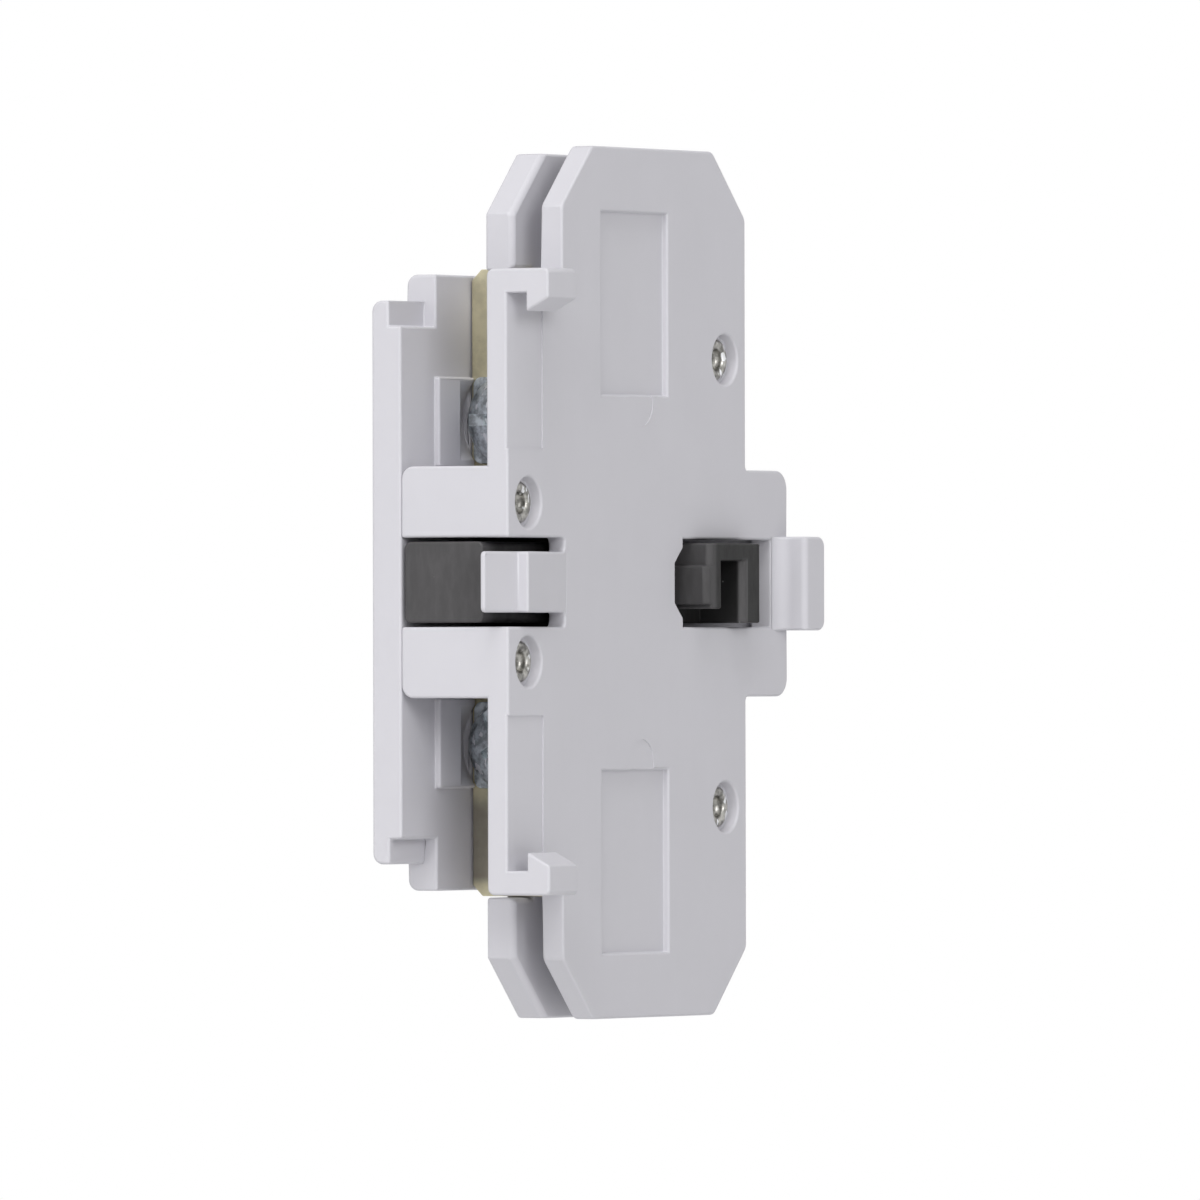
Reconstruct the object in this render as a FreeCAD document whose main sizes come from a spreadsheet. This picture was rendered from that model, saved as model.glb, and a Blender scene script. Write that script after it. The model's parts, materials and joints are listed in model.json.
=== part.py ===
import FreeCAD, Part
import math
import os
import Sketcher

# Auxiliary contact block for the side of a contactor, about 80 mm tall, with one normally open double-break contact.
# Frame: X = 0 is the mounting face of the cover plate, and +X points out of it, at the contactor.
# Y = 0 is the front edge, with the terminals, and +Y points to the rear. Z = 0 is mid-height, +Z up.
# Sizes are in millimetres. Two grey mouldings are riveted together around a black slider.

SIZES = {
    # Cover plate: an octagon with a nose in front and a tail behind
    "plate_height": 80.6,
    "plate_front": 10.0,
    "plate_rear": 44.2,
    "plate_wall": 2.3,
    "corner_cut": 6.15,
    "corner_cut_front": 5.6,
    "corner_radius": 1.2,
    "wing_rise": 11.6,
    "tail_height": 21.2,
    "tail_rear": 52.1,
    "tail_radius": 1.8,
    "edge_radius": 0.5,
    # Bridge blocks on each side of the slider's channel
    "channel_height": 8.2,
    "block_height": 6.55,
    "block_gap": 0.2,
    "block_radius": 1.2,
    "core_front": 6.6,
    "core_wall": 1.3,
    # Spring tongue with its finger tab and catch
    "tongue_width": 5.6,
    "tongue_length": 10.4,
    "tongue_wall": 1.8,
    "tongue_relief": 1.6,
    "slot_radius": 0.4,
    "tab_reach": 2.75,
    "tab_edge": 0.45,
    "tab_drop": 0.9,
    "catch_place": 1.8,
    "catch_height": 1.1,
    # Hooks at the ends of the nose
    "hook_reach": 4.3,
    "hook_width": 5.3,
    "hook_bar": 2.25,
    "hook_lip": 2.4,
    "hook_drop": 4.0,
    "hook_lead": 1.25,
    "nose_radius": 0.7,
    # Rear hook on the tail
    "tail_hook_rise": 2.9,
    "tail_hook_arm": 1.5,
    "tail_hook_foot": 1.45,
    "tail_hook_reach": 2.05,
    "tail_hook_width": 8.8,
    "tail_hook_fillet": 1.42,
    # Drive window
    "window_front": 32.4,
    "window_rear": 49.0,
    "notch_depth": 1.5,
    "notch_height": 5.0,
    "notch_cut": 0.7,
    # Shallow recesses in the cover's face
    "label_depth": 0.15,
    "label_length": 6.4,
    "label_gap": 1.6,
    "panel_depth": 0.6,
    "panel_front": 17.2,
    "panel_length": 12.3,
    "panel_drop": 11.35,
    "panel_margin": 6.0,
    "gate_depth": 0.08,
    "gate_diameter": 4.5,
    "gate_shift": 1.15,
    "gate_drop": 0.6,
    # Rivets
    "rivet_front_place": 3.8,
    "rivet_front_height": 7.3,
    "rivet_rear_place": 40.3,
    "rivet_rear_inset": 7.5,
    "rivet_shank": 3.0,
    "rivet_gap": 0.1,
    "rivet_bore": 1.9,
    "rivet_head": 3.9,
    "rivet_roll_width": 0.8,
    "rivet_roll_height": 0.45,
    "counterbore": 4.7,
    "counterbore_depth": 1.2,
    "post_diameter": 6.6,
    # Base shell
    "housing_depth": 14.5,
    "far_wall": 3.1,
    "base_step": 0.3,
    "base_wall": 2.0,
    "base_radius": 1.0,
    "brow_step": 2.5,
    "brow_depth": 6.4,
    "rebate_height": 2.35,
    "rebate_depth": 1.3,
    "floor_wall": 1.6,
    "partition_wall": 1.3,
    "anvil_wall": 1.4,
    "guide_length": 17.1,
    "wing_face": 8.2,
    "wing_wall": 2.95,
    "wing_step": 0.35,
    "wing_slit": 0.35,
    "wing_bevel": 0.45,
    "lug_front": 6.1,
    "lug_wall": 0.56,
    "lug_height": 8.3,
    "scallop_diameter": 11.2,
    "scallop_front": 10.05,
    # Brass terminals
    "bay_depth": 12.6,
    "strip_wall": 0.8,
    "strip_gap": 0.2,
    "strip_end_gap": 0.25,
    "strip_corner": 1.0,
    "arm_place": 29.9,
    "arm_reach": 1.5,
    "arm_width": 5.0,
    "arm_gap": 0.1,
    "bend_radius": 0.55,
    "collar_diameter": 5.6,
    "collar_length": 1.6,
    "collar_gap": 0.3,
    # Terminal screws and clamp plates
    "screw_inset": 6.6,
    "screw_clearance": 4.35,
    "screw_head": 8.2,
    "screw_rim_height": 0.9,
    "screw_dome_height": 1.5,
    "screw_shank_diameter": 4.0,
    "screw_length": 8.0,
    "screw_point": 0.6,
    "thread_gap": 0.05,
    "slot_width": 1.1,
    "slot_depth": 1.3,
    "clamp_side": 8.0,
    "clamp_wall": 0.8,
    "clamp_radius": 0.8,
    "clamp_groove": 0.3,
    # Slider
    "slider_gap": 0.38,
    "slider_face_gap": 0.4,
    "slider_radius": 0.6,
    "carrier_shoulder": 1.48,
    "carrier_side_gap": 0.5,
    "carrier_gap": 0.3,
    "carrier_length": 14.8,
    "carrier_front_wall": 2.5,
    "carrier_window": 10.3,
    "carrier_window_depth": 5.2,
    "slider_rear": 43.3,
    "fork_rise": 2.0,
    "fork_front": 34.1,
    "fork_nib": 0.75,
    "fork_nib_low": 2.0,
    "fork_nib_high": 1.6,
    "fork_slot_front": 36.0,
    "fork_slot_rear": 40.1,
    "fork_slot_top": 2.1,
    "fork_foot": 2.4,
    "fork_bevel": 0.5,
    # Contact bridge and contact tips
    "bridge_gap": 0.05,
    "bridge_wall": 0.8,
    "bridge_end_gap": 0.4,
    "bridge_width": 4.6,
    "bridge_radius": 1.2,
    "tip_inset": 1.5,
    "tip_head": 3.0,
    "tip_rise": 0.7,
    "tip_crown": 0.2,
    "tip_shank": 1.6,
    # Springs
    "spring_end_gap": 0.1,
    "return_spring_outer": 5.0,
    "return_spring_wire": 0.5,
    "return_spring_turns": 6.0,
    "return_bore": 5.6,
    "return_bore_depth": 8.3,
    "return_peg": 3.2,
    "return_peg_length": 1.4,
    "contact_spring_outer": 4.0,
    "contact_spring_wire": 0.4,
    "contact_spring_turns": 4.0,
    "contact_peg": 2.4,
    "contact_peg_length": 1.4,
}

BOTH_SIDES = (("upper", 1), ("lower", -1))

# The screw head's dome: how far out on the head's radius, and how far down its height
DOME_STEPS = ((0.45, 0.1), (0.75, 0.38), (0.93, 0.72))

doc = FreeCAD.newDocument("AuxiliaryContactBlock")
sheet = doc.addObject("Spreadsheet::Sheet", "Sizes")
for row, (alias, number) in enumerate(SIZES.items(), start=1):
    sheet.set("A%d" % row, alias)
    sheet.set("B%d" % row, str(number))
    sheet.setAlias("B%d" % row, alias)
doc.recompute()


class Size:
    """A length that holds its number and the sheet expression that it is bound by."""

    def __init__(self, value, text):
        self.value = value
        self.text = text

    def __add__(self, other):
        other = as_size(other)
        return Size(self.value + other.value, "(%s + %s)" % (self.text, other.text))

    def __sub__(self, other):
        other = as_size(other)
        return Size(self.value - other.value, "(%s - %s)" % (self.text, other.text))

    def __rsub__(self, other):
        return as_size(other) - self

    def __mul__(self, factor):
        return Size(self.value * factor, "(%s * %s)" % (self.text, factor))

    def __truediv__(self, divisor):
        return Size(self.value / divisor, "(%s / %s)" % (self.text, divisor))

    def __neg__(self):
        return self * -1


def as_size(thing):
    if isinstance(thing, Size):
        return thing
    return Size(float(thing), str(float(thing)))


class Sheet:
    """Gives each named size of the sheet as a Size, such as sizes.plate_height."""

    def __getattr__(self, alias):
        return Size(float(sheet.get(alias)), "Sizes.%s" % alias)


sizes = Sheet()

# Which origin plane each view draws on, and the sign of its normal along the axis that the view looks down
VIEWS = {
    "side": ("YZ_Plane", 1),
    "front": ("XZ_Plane", -1),
    "top": ("XY_Plane", 1),
}


class Piece:
    """One body, built up from sketches and features that are bound to the sheet."""

    def __init__(self, label):
        self.body = doc.addObject("PartDesign::Body", label)
        self.body.Label = label

    def sketch(self, name, view, height):
        """A sketch on an origin plane of the body, moved along the plane's normal by height."""
        role = VIEWS[view][0]
        sketch = self.body.newObject("Sketcher::SketchObject", name + "_sketch")
        plane = [part for part in self.body.Origin.OriginFeatures if part.Role == role][0]
        sketch.AttachmentSupport = [(plane, "")]
        sketch.MapMode = "FlatFace"
        sketch.setExpression("AttachmentOffset.Base.z", as_size(height).text)
        return sketch

    def feature(self, kind, name, view, low, high, draw):
        """Pad or pocket a drawn profile between two levels of the view's axis."""
        sign = VIEWS[view][1]
        start = low if kind == "Pad" else high
        if sign < 0:
            start = high if kind == "Pad" else low
        sketch = self.sketch(name, view, as_size(start) * sign)
        draw(sketch)
        feature = self.body.newObject("PartDesign::" + kind, name)
        feature.Profile = sketch
        feature.Type = 0
        feature.setExpression("Length", (as_size(high) - low).text)
        return feature

    def pad(self, name, view, points, low, high):
        return self.feature("Pad", name, view, low, high, lambda sketch: outline(sketch, points))

    def pocket(self, name, view, points, low, high):
        return self.feature("Pocket", name, view, low, high, lambda sketch: outline(sketch, points))

    def post(self, name, view, centre, diameter, low, high):
        return self.feature("Pad", name, view, low, high, lambda sketch: ring(sketch, centre, diameter))

    def hole(self, name, view, centre, diameter, low, high):
        return self.feature("Pocket", name, view, low, high, lambda sketch: ring(sketch, centre, diameter))

    def turn(self, name, axis, place, points):
        """Revolve a profile, drawn in the top view, round a line along X or Y through place."""
        sketch = self.sketch(name, "top", place[2])
        sketch.setExpression("AttachmentOffset.Base.x", as_size(place[0]).text)
        sketch.setExpression("AttachmentOffset.Base.y", as_size(place[1]).text)
        outline(sketch, points)
        feature = self.body.newObject("PartDesign::Revolution", name)
        feature.Profile = sketch
        feature.ReferenceAxis = (sketch, ["H_Axis" if axis == "X" else "V_Axis"])
        feature.Angle = 360.0
        return feature

    def dress(self, kind, name, size, boxes):
        """Round or bevel the edges that lie inside the given boxes."""
        doc.recompute()
        base = self.body.Tip
        names = edges_inside(base.Shape, boxes)
        feature = self.body.newObject("PartDesign::" + kind, name)
        feature.Base = (base, names)
        feature.setExpression("Radius" if kind == "Fillet" else "Size", as_size(size).text)
        return feature

    def round(self, name, radius, *boxes):
        return self.dress("Fillet", name, radius, boxes)

    def bevel(self, name, size, *boxes):
        return self.dress("Chamfer", name, size, boxes)


def tie(sketch, kind, geometry, point, size):
    """Hold one coordinate of a sketch point at a size, or on the sketch's axis where it is nought."""
    size = as_size(size)
    if size.text == "0.0":
        axis = -2 if kind == "DistanceX" else -1
        sketch.addConstraint(Sketcher.Constraint("PointOnObject", geometry, point, axis))
        return
    index = sketch.addConstraint(Sketcher.Constraint(kind, -1, 1, geometry, point, size.value))
    sketch.setExpression("Constraints[%d]" % index, size.text)


def outline(sketch, points):
    """Draw a closed outline of straight lines with each corner tied to the sheet."""
    corners = [FreeCAD.Vector(as_size(u).value, as_size(v).value, 0) for u, v in points]
    count = len(points)
    for index in range(count):
        sketch.addGeometry(Part.LineSegment(corners[index], corners[(index + 1) % count]), False)
    for index in range(count):
        sketch.addConstraint(Sketcher.Constraint("Coincident", index, 2, (index + 1) % count, 1))
    for index, (u, v) in enumerate(points):
        tie(sketch, "DistanceX", index, 1, u)
        tie(sketch, "DistanceY", index, 1, v)


def ring(sketch, centre, diameter):
    """Draw one circle with its centre and its diameter tied to the sheet."""
    u, v = (as_size(part) for part in centre)
    middle = FreeCAD.Vector(u.value, v.value, 0)
    circle = Part.Circle(middle, FreeCAD.Vector(0, 0, 1), as_size(diameter).value / 2)
    sketch.addGeometry(circle, False)
    tie(sketch, "DistanceX", 0, 3, u)
    tie(sketch, "DistanceY", 0, 3, v)
    index = sketch.addConstraint(Sketcher.Constraint("Diameter", 0, as_size(diameter).value))
    sketch.setExpression("Constraints[%d]" % index, as_size(diameter).text)


def rectangle(u_low, u_high, v_low, v_high):
    return [(u_low, v_low), (u_high, v_low), (u_high, v_high), (u_low, v_high)]


def flipped(points, side):
    """The same outline on the upper side (1), or mirrored to the lower side (-1)."""
    return [(u, as_size(v) * side) for u, v in points]


def spans(*ranges):
    """A box that edges are picked by, from one number or a pair of them for each of X, Y and Z."""
    pairs = []
    for span in ranges:
        ends = span if isinstance(span, tuple) else (span, span)
        pairs.append(sorted(as_size(end).value for end in ends))
    return pairs


def edges_inside(shape, boxes, slack=0.01):
    """Names of the edges whose own box lies inside one of the given boxes."""
    names = []
    for index, edge in enumerate(shape.Edges, start=1):
        box = edge.BoundBox
        ends = ((box.XMin, box.XMax), (box.YMin, box.YMax), (box.ZMin, box.ZMax))
        for spans_wanted in boxes:
            inside = all(
                low - slack <= own_low and own_high <= high + slack
                for (own_low, own_high), (low, high) in zip(ends, spans_wanted)
            )
            if inside:
                names.append("Edge%d" % index)
                break
    return names


# Levels and half-heights that several pieces share
plate_inner = -sizes.plate_wall
wall_outer = -sizes.housing_depth
wall_inner = wall_outer + sizes.far_wall
plate_top = sizes.plate_height / 2
nose_top = plate_top - sizes.wing_rise
tail_top = sizes.tail_height / 2
base_top = nose_top - sizes.base_step
brow_top = base_top - sizes.brow_step
channel_top = sizes.channel_height / 2
block_top = channel_top + sizes.block_height
bay_floor = sizes.bay_depth + sizes.strip_wall
tail_inner = sizes.tail_rear - sizes.base_wall
arm_rear = sizes.arm_place + sizes.strip_wall
screw_axis = -sizes.screw_inset
screw_height = block_top + sizes.screw_clearance
rivet_rear_height = base_top - sizes.rivet_rear_inset
rivet_hole = sizes.rivet_shank + sizes.rivet_gap * 2
slider_low = wall_inner + sizes.slider_face_gap
slider_high = plate_inner - sizes.slider_face_gap
slider_middle = (slider_low + slider_high) / 2
slider_top = channel_top - sizes.slider_gap
carrier_top = slider_top + sizes.carrier_shoulder
arm_inner = carrier_top + sizes.carrier_side_gap
tip_place = arm_inner + sizes.arm_reach
bridge_top = tip_place + sizes.tip_inset
leg_inner = bridge_top + sizes.bridge_end_gap
leg_height = leg_inner + sizes.strip_wall
block_rear = sizes.bay_depth - sizes.block_gap
carrier_front = block_rear + sizes.carrier_gap
carrier_rear = carrier_front + sizes.carrier_length
window_low = carrier_front + sizes.carrier_front_wall
window_high = window_low + sizes.carrier_window
bridge_rear = window_high - sizes.bridge_gap
bridge_front = bridge_rear - sizes.bridge_wall
head_seat = sizes.bay_depth - sizes.clamp_wall

# The four rivets: name, place along Y, place along Z
RIVETS = []
for side_name, side in BOTH_SIDES:
    RIVETS.append(("rivet_front_" + side_name, sizes.rivet_front_place, sizes.rivet_front_height * side))
    RIVETS.append(("rivet_rear_" + side_name, sizes.rivet_rear_place, rivet_rear_height * side))


def wing_corners(start, top):
    """The octagon's upper corners from the front edge to the rear edge, in the side view."""
    return [
        (sizes.plate_front, start),
        (sizes.plate_front, top - sizes.corner_cut_front),
        (sizes.plate_front + sizes.corner_cut_front, top),
        (sizes.plate_rear - sizes.corner_cut, top),
        (sizes.plate_rear, top - sizes.corner_cut),
    ]


def octagon_edges(across, top):
    """Boxes round the edges that run across the plate at the octagon's cut corners, above and below."""
    corners = wing_corners(top, top)[1:]
    return [spans(across, place, as_size(height) * side) for place, height in corners for side in (1, -1)]


# Cover shell
def make_cover():
    cover = Piece("cover_shell")
    upper = [(0, nose_top)] + wing_corners(nose_top, plate_top)
    upper += [(sizes.plate_rear, tail_top), (sizes.tail_rear, tail_top)]
    lower = [(u, -v) for u, v in reversed(upper)]
    cover.pad("plate", "side", upper + lower, plate_inner, 0)
    cover.round(
        "tail_corners", sizes.tail_radius,
        spans((plate_inner, 0), sizes.tail_rear, tail_top), spans((plate_inner, 0), sizes.tail_rear, -tail_top),
    )
    cover.round(
        "tail_steps", sizes.edge_radius,
        spans((plate_inner, 0), sizes.plate_rear, tail_top), spans((plate_inner, 0), sizes.plate_rear, -tail_top),
    )
    cover.round("octagon_corners", sizes.corner_radius, *octagon_edges((plate_inner, 0), plate_top))
    for side_name, side in BOTH_SIDES:
        block = rectangle(wall_inner, plate_inner, channel_top, block_top)
        cover.pad("block_" + side_name, "front", flipped(block, side), 0, block_rear)
    cover.round(
        "block_corners", sizes.block_radius,
        spans(wall_inner, (0, block_rear), block_top), spans(wall_inner, (0, block_rear), -block_top),
    )
    for side_name, side in BOTH_SIDES:
        core = rectangle(
            wall_inner + sizes.core_wall, plate_inner - sizes.core_wall,
            channel_top + sizes.core_wall, block_top - sizes.core_wall,
        )
        cover.pocket("core_" + side_name, "front", flipped(core, side), sizes.core_front, block_rear)
    add_tongue(cover)
    add_hooks(cover)
    cut_window(cover)
    add_tail_hook(cover)
    cut_recesses(cover)
    for name, place, height in RIVETS:
        cover.hole(name + "_bore", "side", (place, height), rivet_hole, wall_inner, 0)
        cover.hole(name + "_seat", "side", (place, height), sizes.counterbore, -sizes.counterbore_depth, 0)
    return cover


def add_tongue(cover):
    """The spring tongue stands free in a notch of the plate. Its catch faces the front."""
    notch = rectangle(0, sizes.tongue_length, -channel_top, channel_top)
    cover.pocket("tongue_notch", "side", notch, plate_inner, 0)
    relief = rectangle(0, sizes.tongue_length + sizes.tongue_relief, -channel_top, channel_top)
    cover.pocket("tongue_relief", "side", relief, plate_inner, -sizes.tongue_wall)
    tab_face = -sizes.tab_drop
    profile = [
        (-sizes.tongue_wall, sizes.tongue_length),
        (-sizes.tongue_wall, 0),
        (tab_face - sizes.tab_edge, -sizes.tab_reach),
        (tab_face, -sizes.tab_reach),
        (0, sizes.catch_place),
        (sizes.catch_height, sizes.catch_place),
        (0, sizes.tongue_length),
    ]
    half = sizes.tongue_width / 2
    cover.pad("tongue", "top", profile, -half, half)
    across = (-sizes.tongue_wall, 0)
    cover.round(
        "tab_corners", sizes.edge_radius,
        spans(across, -sizes.tab_reach, half), spans(across, -sizes.tab_reach, -half),
    )
    ends = [spans(across, sizes.tongue_length, height * side) for height in (half, channel_top) for side in (1, -1)]
    cover.round("slot_ends", sizes.slot_radius, *ends)


def add_hooks(cover):
    """A bar at each end of the nose carries a lip that reaches back along the face."""
    lip_inner = sizes.hook_reach - sizes.hook_lip
    lip_end = nose_top - sizes.hook_drop
    profile = [
        (plate_inner, nose_top - sizes.hook_bar),
        (plate_inner, nose_top),
        (sizes.hook_reach, nose_top),
        (sizes.hook_reach, lip_end + sizes.hook_lead),
        (lip_inner, lip_end),
        (lip_inner, nose_top - sizes.hook_bar),
    ]
    corners = []
    for side_name, side in BOTH_SIDES:
        cover.pad("hook_" + side_name, "front", flipped(profile, side), 0, sizes.hook_width)
        corners.append(spans(sizes.hook_reach, (0, sizes.hook_width), nose_top * side))
    cover.round("hook_corners", sizes.edge_radius, *corners)
    along = (0, sizes.plate_front)
    cover.round(
        "nose_corners", sizes.nose_radius,
        spans(plate_inner, along, nose_top), spans(plate_inner, along, -nose_top),
    )


def cut_window(cover):
    """The drive window, with a shallower notch in its front edge."""
    notch_top = sizes.notch_height / 2
    notch_front = sizes.window_front - sizes.notch_depth
    upper = [
        (notch_front, notch_top - sizes.notch_cut),
        (notch_front + sizes.notch_cut, notch_top),
        (sizes.window_front, notch_top + sizes.notch_cut),
        (sizes.window_front, channel_top),
        (sizes.window_rear, channel_top),
    ]
    lower = [(u, -v) for u, v in reversed(upper)]
    cover.pocket("window", "side", upper + lower, plate_inner, 0)


def add_tail_hook(cover):
    """The rear hook rises from the strip behind the window and points to the rear."""
    neck = sizes.window_rear + sizes.tail_hook_foot
    tip = sizes.tail_rear + sizes.tail_hook_reach
    arm = sizes.tail_hook_rise - sizes.tail_hook_arm
    profile = [
        (plate_inner, sizes.window_rear),
        (0, sizes.window_rear),
        (0, neck),
        (sizes.tail_hook_rise, neck),
        (sizes.tail_hook_rise, tip),
        (arm, tip),
        (arm, sizes.tail_rear),
        (plate_inner, sizes.tail_rear),
    ]
    half = sizes.tail_hook_width / 2
    cover.pad("tail_hook", "top", profile, -half, half)
    cover.round("tail_hook_foot", sizes.tail_hook_fillet, spans(0, neck, (-half, half)))
    cover.round(
        "tail_hook_corners", sizes.edge_radius * 2,
        spans((arm, sizes.tail_hook_rise), tip, half), spans((arm, sizes.tail_hook_rise), tip, -half),
    )


def cut_recesses(cover):
    """Bare label pads on the nose, a shallow panel on each wing, and a gate mark at each panel."""
    panel_rear = sizes.panel_front + sizes.panel_length
    gate_place = sizes.panel_front + sizes.panel_length / 2 + sizes.gate_shift
    panel_low = nose_top - sizes.panel_drop
    panel_high = plate_top - sizes.panel_margin
    for side_name, side in BOTH_SIDES:
        label = rectangle(0, sizes.label_length, block_top + sizes.label_gap, nose_top - sizes.hook_bar)
        panel = rectangle(sizes.panel_front, panel_rear, panel_low, panel_high)
        centre = (gate_place, (panel_low - sizes.gate_drop) * side)
        cover.hole("gate_" + side_name, "side", centre, sizes.gate_diameter, -sizes.gate_depth, 0)
        cover.pocket("label_" + side_name, "side", flipped(label, side), -sizes.label_depth, 0)
        cover.pocket("panel_" + side_name, "side", flipped(panel, side), -sizes.panel_depth, 0)


# Base shell
def make_base():
    base = Piece("base_shell")
    upper = [
        (0, brow_top), (sizes.brow_depth, brow_top), (sizes.brow_depth, base_top),
        (sizes.plate_rear, base_top), (sizes.plate_rear, tail_top), (sizes.tail_rear, tail_top),
    ]
    lower = [(u, -v) for u, v in reversed(upper)]
    base.pad("far_wall", "side", upper + lower, wall_outer, wall_inner)
    walls = [(bay_floor, base_top)] + upper[3:]
    lower_walls = [(u, -v) for u, v in reversed(walls)]
    base.pad("walls", "side", walls + lower_walls, wall_inner, plate_inner)
    edge = (0, sizes.plate_rear)
    rounded = [spans(wall_outer, edge, height * side) for height in (brow_top, base_top) for side in (1, -1)]
    base.round("long_edges", sizes.base_radius, *rounded)
    cut_channel(base)
    cut_chambers(base)
    add_wings(base)
    add_lugs(base)
    base.post(
        "return_peg", "front", (slider_middle, 0), sizes.return_peg,
        tail_inner - sizes.return_peg_length, tail_inner,
    )
    for name, place, height in RIVETS:
        if "rear" in name:
            base.post(name + "_post", "side", (place, height), sizes.post_diameter, wall_inner, plate_inner)
        base.hole(name + "_bore", "side", (place, height), rivet_hole, wall_outer, plate_inner)
        seat_top = wall_outer + sizes.counterbore_depth
        base.hole(name + "_seat", "side", (place, height), sizes.counterbore, wall_outer, seat_top)
    return base


def cut_channel(base):
    """The slider's channel: wide round the contacts, then between anvils and rear guides."""
    guide_front = tail_inner - sizes.guide_length
    anvil_inner = arm_inner - sizes.arm_gap
    upper = [
        (bay_floor, leg_height),
        (arm_rear, leg_height),
        (arm_rear, anvil_inner),
        (guide_front, anvil_inner),
        (guide_front, channel_top),
        (tail_inner, channel_top),
    ]
    lower = [(u, -v) for u, v in reversed(upper)]
    base.pocket("channel", "side", upper + lower, wall_inner, plate_inner)


def cut_chambers(base):
    """Cored rooms behind the bays and behind the anvils."""
    room_front = bay_floor + sizes.floor_wall
    room_rear = sizes.plate_rear - sizes.base_wall
    partition = leg_height + sizes.partition_wall
    anvil_core = arm_rear + sizes.anvil_wall
    guide_outer = channel_top + sizes.partition_wall + sizes.anvil_wall
    for side_name, side in BOTH_SIDES:
        room = rectangle(room_front, room_rear, partition, base_top - sizes.base_wall)
        base.pocket("room_" + side_name, "side", flipped(room, side), wall_inner, plate_inner)
        core = rectangle(anvil_core, room_rear, guide_outer, leg_height)
        base.pocket("anvil_core_" + side_name, "side", flipped(core, side), wall_inner, plate_inner)


def add_wings(base):
    """The wing plates lie behind the cover's octagon, with a slit that the brass strip shows through."""
    wing_low = -sizes.wing_face
    wing_high = wing_low + sizes.wing_wall
    slit_top = nose_top + sizes.wing_slit
    wing_top = plate_top - sizes.wing_step
    root = base_top - sizes.base_wall
    slit_rear = bay_floor + sizes.strip_gap
    edges = []
    for side_name, side in BOTH_SIDES:
        wing = wing_corners(slit_top, wing_top) + [(sizes.plate_rear, root), (slit_rear, root), (slit_rear, slit_top)]
        base.pad("wing_" + side_name, "side", flipped(wing, side), wing_low, wing_high)
        front = (sizes.plate_front, sizes.plate_front + sizes.corner_cut_front)
        edges.append(spans(wing_high, front, (slit_top * side, wing_top * side)))
    base.bevel("wing_edges", sizes.wing_bevel, *edges)


def add_lugs(base):
    """Side lugs stop the clamp plates, with a scallop round the screw head. The brow has a rebate at each end."""
    lug_top = wall_inner + sizes.lug_wall
    for side_name, side in BOTH_SIDES:
        lug = rectangle(sizes.lug_front, sizes.bay_depth, block_top, block_top + sizes.lug_height)
        base.pad("lug_" + side_name, "side", flipped(lug, side), wall_inner, lug_top)
        centre = (screw_axis, screw_height * side)
        scallop_rear = sizes.bay_depth
        base.hole("scallop_" + side_name, "front", centre, sizes.scallop_diameter, sizes.scallop_front, scallop_rear)
        collar_room = sizes.collar_diameter + sizes.collar_gap * 2
        floor_rear = bay_floor + sizes.floor_wall
        base.hole("collar_room_" + side_name, "front", centre, collar_room, bay_floor, floor_rear)
        rebate = rectangle(0, sizes.brow_depth, brow_top - sizes.rebate_height, brow_top)
        rebate_floor = wall_inner - sizes.rebate_depth
        base.pocket("rebate_" + side_name, "side", flipped(rebate, side), rebate_floor, wall_inner)


# Slider
def make_slider():
    slider = Piece("slider")
    upper = [
        (0, slider_top), (carrier_front, slider_top), (carrier_front, carrier_top),
        (carrier_rear, carrier_top), (carrier_rear, slider_top), (sizes.slider_rear, slider_top),
    ]
    lower = [(u, -v) for u, v in reversed(upper)]
    slider.pad("rod", "side", upper + lower, slider_low, slider_high)
    slider.round(
        "face_corners", sizes.slider_radius,
        spans(slider_low, (0, carrier_front), slider_top), spans(slider_low, (0, carrier_front), -slider_top),
        spans(slider_high, (0, carrier_front), slider_top), spans(slider_high, (0, carrier_front), -slider_top),
    )
    reach = sizes.carrier_window_depth / 2
    opening = rectangle(slider_middle - reach, slider_middle + reach, window_low, window_high)
    slider.pocket("bridge_window", "top", opening, -carrier_top, carrier_top)
    slider.post(
        "contact_peg", "front", (slider_middle, 0), sizes.contact_peg,
        window_low, window_low + sizes.contact_peg_length,
    )
    fork = rectangle(sizes.fork_front, sizes.slider_rear, -slider_top, slider_top)
    slider.pad("fork", "side", fork, slider_high, sizes.fork_rise)
    nib = rectangle(sizes.fork_front - sizes.fork_nib, sizes.fork_front, -sizes.fork_nib_low, sizes.fork_nib_high)
    slider.pad("fork_nib", "side", nib, slider_high, sizes.fork_rise)
    slot = [
        (sizes.fork_front, -slider_top),
        (sizes.fork_slot_rear, -slider_top),
        (sizes.fork_slot_rear, sizes.fork_slot_top),
        (sizes.fork_slot_front, sizes.fork_slot_top),
        (sizes.fork_slot_front, -sizes.fork_foot),
        (sizes.fork_front, -sizes.fork_foot),
    ]
    slider.pocket("fork_slot", "side", slot, slider_high, sizes.fork_rise)
    slider.bevel(
        "fork_edges", sizes.fork_bevel,
        spans(sizes.fork_rise, sizes.fork_front, (sizes.fork_nib_high, slider_top)),
        spans(sizes.fork_rise, sizes.fork_front - sizes.fork_nib, (-sizes.fork_nib_low, sizes.fork_nib_high)),
        spans(sizes.fork_rise, sizes.fork_slot_rear, (-slider_top, sizes.fork_slot_top)),
    )
    slider.hole(
        "return_bore", "front", (slider_middle, 0), sizes.return_bore,
        sizes.slider_rear - sizes.return_bore_depth, sizes.slider_rear,
    )
    return slider


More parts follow.
